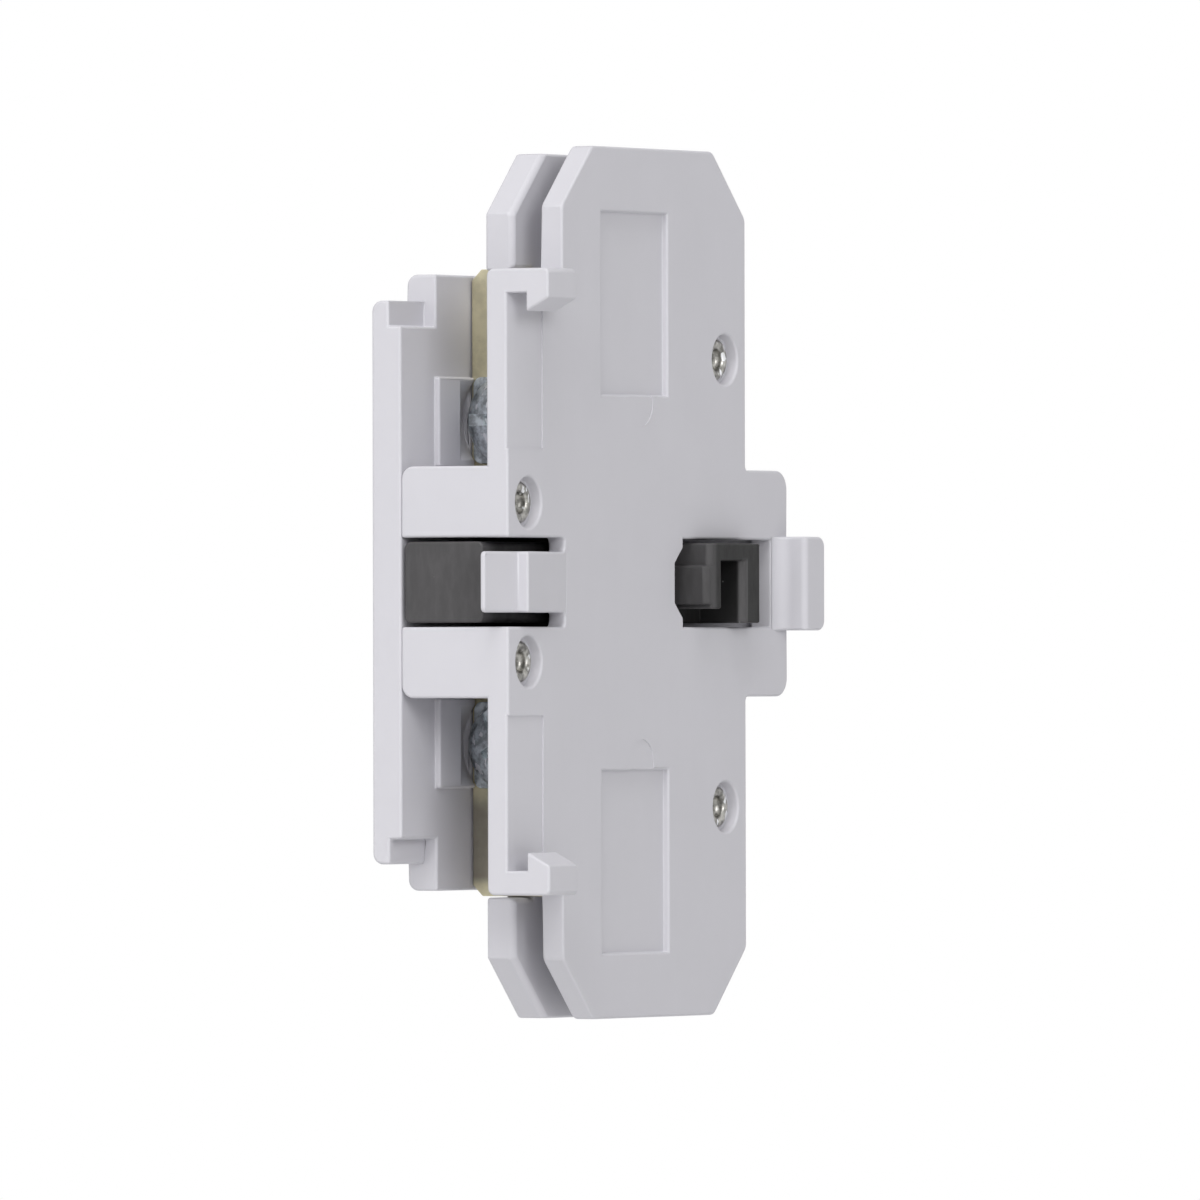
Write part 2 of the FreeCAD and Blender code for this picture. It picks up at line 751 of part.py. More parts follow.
# Brass terminals
def make_terminal(side_name, side):
    """One strip: the plate in the bay, a leg along the channel and an arm that carries the fixed contact."""
    terminal = Piece("terminal_" + side_name)
    outer = nose_top + sizes.strip_end_gap
    low = wall_inner + sizes.strip_gap
    high = plate_inner - sizes.strip_gap
    corner = sizes.strip_corner
    plate = [
        (low, leg_inner), (high, leg_inner), (high, outer - corner), (high - corner, outer),
        (low + corner, outer), (low, outer - corner),
    ]
    terminal.pad("plate", "front", flipped(plate, side), sizes.bay_depth, bay_floor)
    arm_low = slider_middle - sizes.arm_width / 2
    arm_high = slider_middle + sizes.arm_width / 2
    bend = [
        (sizes.bay_depth, leg_inner), (arm_rear, leg_inner), (arm_rear, leg_height),
        (sizes.bay_depth, leg_height),
    ]
    terminal.pad("leg", "side", flipped(bend, side), arm_low, arm_high)
    arm = rectangle(sizes.arm_place, arm_rear, arm_inner, leg_height)
    terminal.pad("arm", "side", flipped(arm, side), arm_low, arm_high)
    terminal.round("bend", sizes.bend_radius, spans((arm_low, arm_high), arm_rear, leg_height * side))
    centre = (screw_axis, screw_height * side)
    collar_end = bay_floor + sizes.collar_length
    terminal.post("collar", "front", centre, sizes.collar_diameter, bay_floor, collar_end)
    thread_hole = sizes.screw_shank_diameter + sizes.thread_gap * 2
    terminal.hole("thread", "front", centre, thread_hole, sizes.bay_depth, collar_end)
    tip_centre = (slider_middle, tip_place * side)
    terminal.hole("tip_hole", "front", tip_centre, sizes.tip_shank, sizes.arm_place, arm_rear)
    return terminal


def make_clamp(side_name, side):
    """The square plate under the screw head, with rounded corners and gripping grooves below."""
    clamp = Piece("clamp_plate_" + side_name)
    half = sizes.clamp_side / 2
    centre_height = screw_height * side
    square = rectangle(screw_axis - half, screw_axis + half, centre_height - half, centre_height + half)
    clamp.pad("plate", "front", square, head_seat, sizes.bay_depth)
    across = (head_seat, sizes.bay_depth)
    corners = []
    for along in (-1, 1):
        for up in (-1, 1):
            corners.append(spans(screw_axis + half * along, across, centre_height + half * up))
    clamp.round("corners", sizes.clamp_radius, *corners)
    hole = sizes.screw_shank_diameter + sizes.thread_gap * 4
    clamp.hole("hole", "front", (screw_axis, centre_height), hole, head_seat, sizes.bay_depth)
    grip = sizes.clamp_groove
    for step in (-1, 1):
        middle = screw_axis + (half - sizes.clamp_radius) * step
        groove = [(middle - grip, sizes.bay_depth), (middle, sizes.bay_depth - grip), (middle + grip, sizes.bay_depth)]
        name = "groove_left" if step < 0 else "groove_right"
        clamp.pocket(name, "top", groove, centre_height - half, centre_height + half)
    return clamp


def make_screw(side_name, side):
    """A pan-head terminal screw, turned about its own axis, with a slot across the dome."""
    screw = Piece("terminal_screw_" + side_name)
    place = (screw_axis, 0, screw_height * side)
    radius = sizes.screw_head / 2
    shank = sizes.screw_shank_diameter / 2
    rim = head_seat - sizes.screw_rim_height
    crown = rim - sizes.screw_dome_height
    end = head_seat + sizes.screw_length
    profile = [(0, crown)]
    profile += [(radius * out, crown + sizes.screw_dome_height * down) for out, down in DOME_STEPS]
    profile += [
        (radius, rim),
        (radius, head_seat),
        (shank, head_seat),
        (shank, end - sizes.screw_point),
        (shank - sizes.screw_point, end),
        (0, end),
    ]
    screw.turn("head_and_shank", "Y", place, profile)
    height = screw_height * side
    half = sizes.slot_width / 2
    slot = rectangle(screw_axis - radius, screw_axis + radius, height - half, height + half)
    screw.pocket("slot", "front", slot, crown, crown + sizes.slot_depth)
    return screw


def make_rivet(name, place, height):
    """A tubular rivet: a rolled head in the cover's counterbore and a flat head in the base's."""
    rivet = Piece(name)
    bore = sizes.rivet_bore / 2
    shank = sizes.rivet_shank / 2
    head = sizes.rivet_head / 2
    roll = sizes.rivet_roll_width
    low_roll = sizes.rivet_roll_height
    top_seat = -sizes.counterbore_depth
    low_seat = wall_outer + sizes.counterbore_depth
    profile = [
        (low_seat - roll, 0),
        (low_seat - roll, head - roll / 2),
        (low_seat, head),
        (low_seat, shank),
        (top_seat, shank),
        (top_seat, head),
        (top_seat + low_roll / 2, head),
        (top_seat + low_roll, head - roll / 2),
        (top_seat + low_roll, bore + roll / 2),
        (top_seat + low_roll / 2, bore),
        (low_seat + roll, bore),
        (low_seat + roll, 0),
    ]
    rivet.turn("body_and_heads", "X", (0, place, height), profile)
    return rivet


# Moving contact
def make_bridge():
    bridge = Piece("contact_bridge")
    half_width = sizes.bridge_width / 2
    low = slider_middle - half_width
    high = slider_middle + half_width
    bridge.pad("plate", "front", rectangle(low, high, -bridge_top, bridge_top), bridge_front, bridge_rear)
    across = (bridge_front, bridge_rear)
    corners = [spans(end, across, bridge_top * side) for end in (low, high) for side in (1, -1)]
    bridge.round("corners", sizes.bridge_radius, *corners)
    for side_name, side in BOTH_SIDES:
        centre = (slider_middle, tip_place * side)
        bridge.hole("tip_hole_" + side_name, "front", centre, sizes.tip_shank, bridge_front, bridge_rear)
    return bridge


def make_tip(label, height, seat, facing):
    """A silver contact rivet: a low crowned head on the seat and a shank through the strip."""
    tip = Piece(label)
    radius = sizes.tip_head / 2
    shank = sizes.tip_shank / 2
    rise = sizes.tip_rise * facing
    crown = sizes.tip_crown * facing
    depth = sizes.strip_wall if facing < 0 else sizes.bridge_wall
    profile = [
        (0, seat - depth * facing),
        (shank, seat - depth * facing),
        (shank, seat),
        (radius, seat),
        (radius, seat + rise - crown),
        (0, seat + rise),
    ]
    tip.turn("head_and_shank", "Y", (slider_middle, 0, height), profile)
    return tip


# Springs: a six-sided wire wound along a helix, with its axis along Y
def make_spring(label, start, end, outer, wire, turns):
    spring = Piece(label)
    low = start + sizes.spring_end_gap + wire / 2
    length = end - sizes.spring_end_gap - wire / 2 - low
    radius = outer / 2 - wire / 2
    section = [
        (radius + wire / 2 * math.cos(math.radians(angle)), wire / 2 * math.sin(math.radians(angle)))
        for angle in range(0, 360, 60)
    ]
    sketch = spring.sketch("wire", "top", 0)
    sketch.setExpression("AttachmentOffset.Base.x", slider_middle.text)
    sketch.setExpression("AttachmentOffset.Base.y", low.text)
    outline(sketch, section)
    coil = spring.body.newObject("PartDesign::AdditiveHelix", "coil")
    coil.Profile = sketch
    coil.ReferenceAxis = (sketch, ["V_Axis"])
    coil.Mode = "height-turns-growth"
    coil.setExpression("Height", length.text)
    coil.setExpression("Turns", turns.text)
    return spring


# All pieces
pieces = [make_base().body, make_cover().body, make_slider().body, make_bridge().body]
for side_name, side in BOTH_SIDES:
    pieces.append(make_terminal(side_name, side).body)
    pieces.append(make_clamp(side_name, side).body)
    pieces.append(make_screw(side_name, side).body)
    pieces.append(make_tip("bridge_tip_" + side_name, tip_place * side, bridge_rear, 1).body)
    pieces.append(make_tip("terminal_tip_" + side_name, tip_place * side, sizes.arm_place, -1).body)
for name, place, height in RIVETS:
    pieces.append(make_rivet(name, place, height).body)
pieces.append(make_spring(
    "return_spring", sizes.slider_rear - sizes.return_bore_depth, tail_inner,
    sizes.return_spring_outer, sizes.return_spring_wire, sizes.return_spring_turns,
).body)
pieces.append(make_spring(
    "contact_spring", window_low, bridge_front,
    sizes.contact_spring_outer, sizes.contact_spring_wire, sizes.contact_spring_turns,
).body)
doc.recompute()

# Check every object before anything is written
for thing in doc.Objects:
    if "Invalid" in thing.State or "Error" in thing.State:
        raise RuntimeError("%s failed: %s" % (thing.Label, thing.State))
for piece in pieces:
    if piece.Shape.isNull() or not piece.Shape.isValid() or not piece.Shape.Solids:
        raise RuntimeError("%s has no valid solid" % piece.Label)

os.makedirs("parts", exist_ok=True)
for piece in pieces:
    piece.Shape.exportStep("parts/%s.step" % piece.Label)
    print("%-24s %9.2f mm3 %d solid(s)" % (piece.Label, piece.Shape.Volume, len(piece.Shape.Solids)))
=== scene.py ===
"""Looks of a slim auxiliary contact block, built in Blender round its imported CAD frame.

Sizes in the property groups are in metres. The frame is X out of the mounting face, Y to the rear and Z up.
"""

import json
import math

import bmesh
import bpy
from bpy.props import FloatProperty, FloatVectorProperty, IntProperty, PointerProperty
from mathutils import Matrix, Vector

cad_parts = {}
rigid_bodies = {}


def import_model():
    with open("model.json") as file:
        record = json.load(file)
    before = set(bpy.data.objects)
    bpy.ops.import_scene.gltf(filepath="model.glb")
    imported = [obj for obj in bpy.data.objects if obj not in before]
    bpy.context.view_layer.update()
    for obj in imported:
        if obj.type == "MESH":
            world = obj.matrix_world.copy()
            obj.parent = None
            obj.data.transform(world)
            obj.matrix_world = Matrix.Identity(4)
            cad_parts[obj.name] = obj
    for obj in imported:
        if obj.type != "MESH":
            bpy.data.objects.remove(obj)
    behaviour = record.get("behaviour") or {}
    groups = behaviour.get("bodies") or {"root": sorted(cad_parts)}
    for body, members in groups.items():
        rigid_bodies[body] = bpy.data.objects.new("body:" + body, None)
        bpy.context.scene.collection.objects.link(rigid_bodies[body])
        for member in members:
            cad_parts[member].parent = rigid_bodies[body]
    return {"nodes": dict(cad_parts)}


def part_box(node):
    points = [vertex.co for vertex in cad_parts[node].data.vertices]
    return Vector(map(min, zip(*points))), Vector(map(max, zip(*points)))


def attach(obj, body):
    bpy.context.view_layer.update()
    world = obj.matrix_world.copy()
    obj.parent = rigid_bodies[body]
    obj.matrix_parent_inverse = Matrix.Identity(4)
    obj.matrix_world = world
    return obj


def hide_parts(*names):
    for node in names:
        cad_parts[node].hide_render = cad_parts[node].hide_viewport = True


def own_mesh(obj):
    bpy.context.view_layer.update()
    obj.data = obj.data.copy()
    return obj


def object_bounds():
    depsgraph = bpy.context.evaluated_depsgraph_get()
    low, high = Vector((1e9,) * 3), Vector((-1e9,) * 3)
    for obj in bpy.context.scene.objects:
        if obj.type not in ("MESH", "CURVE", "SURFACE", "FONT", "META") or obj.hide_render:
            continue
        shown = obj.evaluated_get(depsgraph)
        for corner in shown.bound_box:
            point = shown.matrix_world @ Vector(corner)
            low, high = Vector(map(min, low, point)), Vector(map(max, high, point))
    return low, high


bl_info = {
    "name": "Auxiliary contact block",
    "version": (1, 0, 0),
    "blender": (4, 5, 0),
    "location": "3D View > Sidebar > Contact Block",
    "description": "Builds the mouldings, screws, rivets and springs of a slim auxiliary contact block",
    "category": "Add Mesh",
}

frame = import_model()
cad_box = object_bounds()

MM = 0.001
# Points nearer to each other than this are merged
WELD = 0.0005 * MM
# Points nearer to a cutting plane than this count as lying on it
CUT_REACH = 0.0001 * MM
# Each side's name in the frame, and its sign along Z
BOTH_SIDES = (("upper", 1), ("lower", -1))
RIVETS = ("rivet_front_upper", "rivet_front_lower", "rivet_rear_upper", "rivet_rear_lower")


# ---------------------------------------------------------------- sizes and colours

def length(name, description, default):
    return FloatProperty(name=name, description=description, default=default, min=0.0, unit="LENGTH",
                         precision=5)


def colour(name, description, default):
    return FloatVectorProperty(name=name, description=description, default=default, size=3, min=0.0,
                               max=1.0, subtype="COLOR")


class BlockSizes(bpy.types.PropertyGroup):
    """Edge roundings and the small hardware's own sizes"""

    moulded_edge: length("Moulded edge", "Rounding of the grey mouldings' edges", 0.26 * MM)
    hook_edge: length("Hook edge", "Rounding of the tail hook's outer edge", 0.6 * MM)
    slider_edge: length("Slider edge", "Rounding of the slider's edges", 0.2 * MM)
    stamped_edge: length("Stamped edge", "Rounding of the sheet metal's edges", 0.1 * MM)
    edge_steps: IntProperty(name="Edge steps", description="Faces across each rounded edge", default=3, min=1, max=6)
    head_recess: length("Recess depth", "Depth of the cross recess in a screw head", 1.5 * MM)
    slot_width: length("Slot width", "Width of the slot across a screw head", 1.1 * MM)
    slot_depth: length("Slot depth", "Depth of the slot across a screw head", 1.0 * MM)
    thread_pitch: length("Thread pitch", "Rise of the terminal screw's thread in one turn", 0.7 * MM)
    thread_depth: length("Thread depth", "Depth of the terminal screw's thread", 0.4 * MM)
    rivet_bore: length("Rivet bore", "Width across the cup in a rivet's rolled end", 1.9 * MM)
    rivet_roll: length("Rivet roll", "Height of a rivet's rolled rim in the cover", 0.45 * MM)
    rivet_cup: length("Rivet cup", "Depth of the cup below the foot of the rim", 0.55 * MM)
    wing_sag: length("Wing sag", "How far both wings of the base sit lower than in the frame", 0.3 * MM)
    return_wire: length("Return wire", "Wire of the return spring", 0.5 * MM)
    contact_wire: length("Contact wire", "Wire of the contact spring", 0.4 * MM)
    return_turns: FloatProperty(name="Return turns", description="Turns of the return spring",
                                default=7.5, min=2.0)
    contact_turns: FloatProperty(name="Contact turns", description="Turns of the contact spring",
                                 default=6.0, min=2.0)


class BlockColours(bpy.types.PropertyGroup):
    """Base colours of the finishes"""

    housing: colour("Housing", "Pale grey moulded plastic", (0.569, 0.562, 0.598))
    slider: colour("Slider", "Dark grey moulded plastic", (0.062, 0.060, 0.062))
    brass: colour("Brass", "Terminal strips", (0.70, 0.65, 0.46))
    # Painted shade: a darker brass for the lower terminal bay, where little light reaches
    bay_shade: colour("Stain", "Tarnish in the lower terminal bay", (0.25, 0.23, 0.20))
    zinc: colour("Zinc", "Terminal screws and clamp plates", (0.80, 0.86, 0.89))
    nickel: colour("Nickel", "Rivets", (0.50, 0.49, 0.46))
    silver: colour("Silver", "Contact tips", (0.80, 0.79, 0.76))
    steel: colour("Steel", "Springs", (0.42, 0.42, 0.43))


class StageSettings(bpy.types.PropertyGroup):
    """Camera, floor and light"""

    distance: length("Camera distance", "Camera to the middle of the block", 1.6)
    lens: FloatProperty(name="Lens", description="Focal length in millimetres", default=520.0, min=1.0)
    azimuth: FloatProperty(name="Azimuth", description="Camera's turn from the front",
                           default=math.radians(30), subtype="ANGLE")
    horizon: FloatProperty(name="Camera height", description="Height of the camera", default=-8.0 * MM,
                           unit="LENGTH")
    roll: FloatProperty(name="Roll", description="Camera's turn about its own line of sight",
                        default=math.radians(-0.12), subtype="ANGLE")
    aim: FloatVectorProperty(name="Aim", description="Point at the picture's centre", size=3, subtype="XYZ",
                             default=(0.0, 16.8 * MM, -1.62 * MM))
    floor_drop: length("Floor drop", "Floor below the block", 0.12)
    floor_radius: length("Floor radius", "Middle of the floor to its edge", 2.9)
    key_power: FloatProperty(name="Key", description="Power of the front key lamp in watts",
                             default=6.2, min=0.0)
    side_power: FloatProperty(name="Side", description="Power of the front right lamp in watts",
                              default=7.6, min=0.0)
    top_power: FloatProperty(name="Top", description="Power of the lamp overhead in watts",
                             default=7.1, min=0.0)
    lamp_size: length("Lamp size", "Diameter of each lamp", 0.7)
    lamp_reach: length("Lamp distance", "Each lamp to the frame's origin", 1.5)
    sky_level: FloatProperty(name="Sky", description="Level of the light that comes from all round",
                             default=0.0, min=0.0)
    sky_sides: FloatVectorProperty(name="Sky sides", description="More light from the right, rear and top",
                                   size=3, default=(0.0, 0.5, 0.0), min=0.0)
    sky_backs: FloatVectorProperty(name="Sky backs", description="More light from the left, front and bottom",
                                   size=3, default=(0.6, 0.75, 0.0), min=0.0)
    gloss_level: FloatProperty(name="Gloss", description="Level that gloss sees all round",
                               default=1.0, min=0.0)


# ---------------------------------------------------------------- shaders

# The scale of a pattern that isn't drawn out in any direction
EVEN = (1.0, 1.0, 1.0)


class Wire:
    """A shader socket on which Python's operators add Math nodes."""

    def __init__(self, nodes, socket):
        self.nodes = nodes
        self.socket = socket

    def maths(self, operation, *terms):
        return self.nodes.add("ShaderNodeMath", {"operation": operation}, dict(enumerate(terms)))

    def __add__(self, other):
        return self.maths("ADD", self, other)

    def __radd__(self, other):
        return self.maths("ADD", other, self)

    def __sub__(self, other):
        return self.maths("SUBTRACT", self, other)

    def __rsub__(self, other):
        return self.maths("SUBTRACT", other, self)

    def __mul__(self, other):
        return self.maths("MULTIPLY", self, other)

    def __rmul__(self, other):
        return self.maths("MULTIPLY", other, self)

    def larger(self, other):
        return self.maths("MAXIMUM", self, other)

    def way(self, name):
        """One of a vector's three parts, named X, Y or Z."""
        return self.nodes.add("ShaderNodeSeparateXYZ", None, {0: self}, output=name)

    def above(self, low, high):
        """0 below low, 1 above high, smooth between."""
        return self.nodes.add("ShaderNodeMapRange", {"interpolation_type": "SMOOTHSTEP"},
                              {"Value": self, "From Min": low, "From Max": high})


class Nodes:
    """The nodes of a material or world, and one way to add a node."""

    def __init__(self, owner):
        owner.use_nodes = True
        self.tree = owner.node_tree

    def set(self, node, sockets):
        for key, value in sockets.items():
            socket = node.inputs[key]
            if isinstance(value, Wire):
                self.tree.links.new(value.socket, socket)
            elif hasattr(value, "__len__") and len(value) == 3 and socket.type == "RGBA":
                socket.default_value = (*value, 1.0)
            else:
                socket.default_value = value

    def add(self, kind, settings=None, sockets=None, output=0):
        """Adds a node of this kind, with its settings set first, and gives the wanted output."""
        node = self.tree.nodes.new(kind)
        for key, value in (settings or {}).items():
            setattr(node, key, value)
        self.set(node, sockets or {})
        return Wire(self, node.outputs[output])


class Shader(Nodes):
    """A new material, whose patterns follow the place on the object."""

    def __init__(self, name, **plain):
        self.material = bpy.data.materials.new(name)
        super().__init__(self.material)
        self.surface = self.tree.nodes["Principled BSDF"]
        self.set(self.surface, plain)
        self.place = self.add("ShaderNodeTexCoord", output="Object")

    def stretched(self, stretch):
        """The place, along which a pattern is drawn out where the scale is under 1."""
        if stretch == EVEN:
            return self.place
        return self.add("ShaderNodeMapping", None, {"Vector": self.place, "Scale": stretch})

    def noise(self, size, detail=2.0, rough=0.5, stretch=EVEN):
        """Soft noise whose patches are about size metres across, from 0 to 1."""
        return self.add("ShaderNodeTexNoise", None, {
            "Vector": self.stretched(stretch), "Scale": 1 / size, "Detail": detail, "Roughness": rough})

    def specks(self, spacing, radius, share, stretch=EVEN):
        """1 inside small round marks, which only some cells of the given spacing have."""
        cells = {"Vector": self.stretched(stretch), "Scale": 1 / spacing, "Randomness": 1.0}
        near = self.add("ShaderNodeTexVoronoi", None, cells, output="Distance")
        lot = self.add("ShaderNodeTexVoronoi", None, cells, output="Color")
        pick = self.add("ShaderNodeSeparateColor", None, {"Color": lot}, output="Red")
        inside = 1.0 - near.above(radius / spacing * 0.6, radius / spacing)
        return inside * pick.above(1 - share - 0.001, 1 - share)

    def blend(self, share, first, second):
        """Colour between two, by share from 0 to 1."""
        return self.add("ShaderNodeMix", {"data_type": "RGBA"}, {0: share, 6: first, 7: second}, output=2)

    def bump(self, height, distance, strength, below=None):
        sockets = {"Height": height, "Distance": distance, "Strength": strength}
        if below is not None:
            sockets["Normal"] = below
        return self.add("ShaderNodeBump", None, sockets)

    def finish(self, **sockets):
        self.set(self.surface, sockets)
        return self.material


def scaled(tone, factor):
    return tuple(min(1.0, channel * factor) for channel in tone)


def moulded_grey(tone):
    """Pale grey plastic: faint clouding and flow, a fine eggshell grain and a few dark specks."""
    shader = Shader("moulded_grey_plastic", IOR=1.47)
    cloud = shader.noise(9 * MM, 3.0)
    flow = shader.noise(3.5 * MM, 4.0, 0.6, stretch=(1.0, 1.0, 0.25))
    grain = shader.noise(0.16 * MM, 2.0, 0.6)
    mottle = shader.blend(cloud * 0.6 + flow * 0.4, scaled(tone, 0.955), scaled(tone, 1.035))
    dots = shader.specks(5.5 * MM, 0.09 * MM, 0.16)
    colours = shader.blend(dots * 0.55, mottle, scaled(tone, 0.45))
    wide = shader.bump(cloud * 0.5 + flow * 0.5, 0.05 * MM, 0.5)
    return shader.finish(**{
        "Base Color": colours,
        "Roughness": 0.44 + grain * 0.14 + flow * 0.06,
        "Normal": shader.bump(grain, 0.006 * MM, 0.6, wide),
    })


# Where the slider is painted lighter, as places along Y: its front, its fork and the rib behind the fork. This is
# painted light and sheen with a little real rubbing, and on the rib a painted highlight along its lit top. The rib
# is painted only beyond a place along X and below one along Z. A pair is the span over which the painted light
# fades.
FRONT_END = (0.5 * MM, 3.0 * MM)
FORK_START, FORK_END = (30.0 * MM, 31.0 * MM), (34.6 * MM, 35.4 * MM)
RIB_START, RIB_END = (39.9 * MM, 40.1 * MM), 41.0 * MM
RIB_FACE, RIB_TOP = (1.2 * MM, 1.6 * MM), (1.9 * MM, 2.5 * MM)
# How much painted light the fork gets, where the front gets 1
FORK_LIGHTER = 0.8
DUST = (0.5, 0.5, 0.5)


def moulded_black(tone):
    """Dark slider plastic with painted light and sheen on front face, fork and rib, some real rubbing, upright
    scuffs, pale dust and scratches.
    """
    shader = Shader("slider_black_plastic", IOR=1.38)
    across, along, up = (shader.place.way(name) for name in "XYZ")
    rub = shader.noise(0.8 * MM, 5.0, 0.6, stretch=(1.0, 1.0, 0.3)).above(0.36, 0.74)
    cloud = shader.noise(3 * MM, 3.0)
    grain = shader.noise(0.12 * MM, 2.0, 0.6)
    front = 1.0 - along.above(*FRONT_END)
    fork = (1.0 - along.above(*FORK_END)) * along.above(*FORK_START) * FORK_LIGHTER
    rib = along.above(*RIB_START) * along.maths("LESS_THAN", along, RIB_END)
    rib = rib * across.above(*RIB_FACE) * (1.0 - up.above(*RIB_TOP))
    # Painted light and sheen on front, fork and rib, partly real rubbing
    lit_and_worn = front.larger(fork.larger(rib))
    plain = shader.blend(cloud, scaled(tone, 0.13), scaled(tone, 0.22))
    # The lighter tone for those places: painted light, mottled by the rubbing noise
    rubbed_and_lit = shader.blend(rub * 0.45 + cloud * 0.35, scaled(tone, 0.85), scaled(tone, 1.4))
    body = shader.blend(lit_and_worn, plain, rubbed_and_lit)
    dust = shader.specks(1.3 * MM, 0.09 * MM, 0.2)
    scratch = shader.specks(1.8 * MM, 0.08 * MM, 0.16, stretch=(1.0, 1.0, 0.16))
    marks = dust.larger(scratch * 0.8) * (0.25 + lit_and_worn * 0.75)
    colours = shader.blend(marks * 0.85, body, DUST)
    return shader.finish(**{
        "Base Color": colours,
        "Roughness": 0.46 + rub * 0.14 + grain * 0.12,
        "Normal": shader.bump(rub * 0.4 + grain * 0.6, 0.012 * MM, 0.7),
    })


# Almost white, for painted glints: spots in the colour that stand in for the highlights on a dented plating
PAINTED_GLINT = (0.97, 0.98, 1.0)
# Over what height the painted shade of the lower bay fades, to either side of its lower edge and below its upper
# edge
SHADE_FOOT, SHADE_TOP = 0.6 * MM, 3 * MM


def metal(name, tone, dark, rough, patch, brushed=EVEN, dent=0.01 * MM, painted_glint=0.0, shade_band=None):
    """Plated or bare metal, dark in patches, with drawing lines and dents, and with painted glints or a band of
    painted shade.
    """
    shader = Shader(name, Metallic=1.0)
    drift = shader.noise(patch, 4.0, 0.6)
    lines = shader.noise(0.12 * MM, 3.0, 0.7, stretch=brushed)
    pits = shader.noise(0.35 * MM, 2.0)
    colours = shader.blend(drift.above(0.35, 0.66), tone, dark)
    # Painted shade: a darker band between two heights, where the lower bay gets little light
    if shade_band:
        low, high, bay_shade = shade_band
        height = shader.place.way("Z")
        shade_share = height.above(low - SHADE_FOOT, low + SHADE_FOOT)
        shade_share = shade_share * (1.0 - height.above(high - SHADE_TOP, high))
        colours = shader.blend(shade_share * (0.7 + drift * 0.3), colours, bay_shade)
    if painted_glint:
        # Painted glints: near-white spots in the colour stand in for highlights
        glint_spots = shader.noise(0.55 * MM, 1.0, 0.5, stretch=(1.0, 1.0, 0.5)).above(0.62, 0.68)
        colours = shader.blend(glint_spots * painted_glint, colours, PAINTED_GLINT)
    return shader.finish(**{
        "Base Color": colours,
        "Roughness": rough + drift * 0.14 + lines * 0.12,
        "Normal": shader.bump(lines * 0.5 + pits * 0.5, dent, 0.8),
    })


FINISHES = {}


def finishes():
    """The materials, each made once and kept under a finish's name."""
    if not FINISHES:
        tones = bpy.context.scene.block_colours
        # The strips are drawn along Y, and darkened by painted shade between two heights in the lower bay
        drawn = (1.0, 0.06, 1.0)
        lower_bay_shade = (-27.6 * MM, -18.6 * MM, tones.bay_shade)
        FINISHES.update(
            housing_grey=moulded_grey(tones.housing),
            slider_black=moulded_black(tones.slider),
            contact_brass=metal("contact_brass", tones.brass, scaled(tones.brass, 0.8), 0.30, 2.5 * MM,
                                drawn, shade_band=lower_bay_shade),
            zinc_steel=metal("zinc_plated_steel", tones.zinc, scaled(tones.zinc, 0.42), 0.20, 1.0 * MM,
                             dent=0.03 * MM, painted_glint=0.9),
            rivet_nickel=metal("nickel_plated_rivet", tones.nickel, scaled(tones.nickel, 0.36), 0.18,
                               0.7 * MM, dent=0.04 * MM, painted_glint=0.9),
            contact_silver=metal("contact_silver", tones.silver, scaled(tones.silver, 0.8), 0.28, 0.8 * MM),
            spring_steel=metal("spring_steel", tones.steel, scaled(tones.steel, 0.7), 0.26, 1.5 * MM),
        )
    return FINISHES


# ---------------------------------------------------------------- modelling by hand

def only(*things):
    """Selects these objects alone, the last one active."""
    bpy.ops.object.select_all(action="DESELECT")
    for thing in things:
        thing.select_set(True)
    bpy.context.view_layer.objects.active = things[-1]


class Editing:
    """Edit mode on one object, with everything selected at the start or nothing."""

    def __init__(self, piece, select="SELECT"):
        self.piece = piece
        self.select = select

    def __enter__(self):
        only(self.piece)
        bpy.ops.object.mode_set(mode="EDIT")
        bpy.ops.mesh.select_all(action=self.select)
        return bmesh.from_edit_mesh(self.piece.data)

    def __exit__(self, *trouble):
        bpy.ops.object.mode_set(mode="OBJECT")


def settle(piece):
    """Puts the object's place into its mesh."""
    only(piece)
    bpy.ops.object.transform_apply(location=True, rotation=True, scale=True)


def apply(piece, kind, **settings):
    """Adds a modifier with these settings and applies it."""
    modifier = piece.modifiers.new(kind.lower(), kind)
    for key, value in settings.items():
        setattr(modifier, key, value)
    only(piece)
    bpy.ops.object.modifier_apply(modifier=modifier.name)


def smooth(piece, degrees):
    """Shades a piece smooth across edges that turn by less than this."""
    only(piece)
    bpy.ops.object.shade_smooth_by_angle(angle=math.radians(degrees))


# Faces of a copy that turn by less than this are one flat face, and so are a rounded piece's slivers
FLAT = math.radians(0.4)
SLIVER = math.radians(1.5)


def merged_copy(node, name):
    """A copy of a CAD node's mesh with its loose triangles merged into whole faces."""
    only(frame["nodes"][node])
    bpy.ops.object.duplicate()
    piece = bpy.context.active_object
    piece.name = name
    for key in [key for key in piece.keys() if key.startswith("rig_")]:
        del piece[key]
    only(piece)
    bpy.ops.object.parent_clear(type="CLEAR_KEEP_TRANSFORM")
    with Editing(piece):
        bpy.ops.mesh.remove_doubles(threshold=WELD)
        bpy.ops.mesh.customdata_custom_splitnormals_clear()
        bpy.ops.mesh.dissolve_limited(angle_limit=FLAT)
    return piece


def room(edge, face):
    """How far a face reaches from the line of one of its edges."""
    start = edge.verts[0].co
    along = (edge.verts[1].co - start).normalized()
    return max(((v.co - start) - along * (v.co - start).dot(along)).length for v in face.verts)


# The cosine between two edges that leave a corner in almost the same direction
SAME_WAY = 0.9


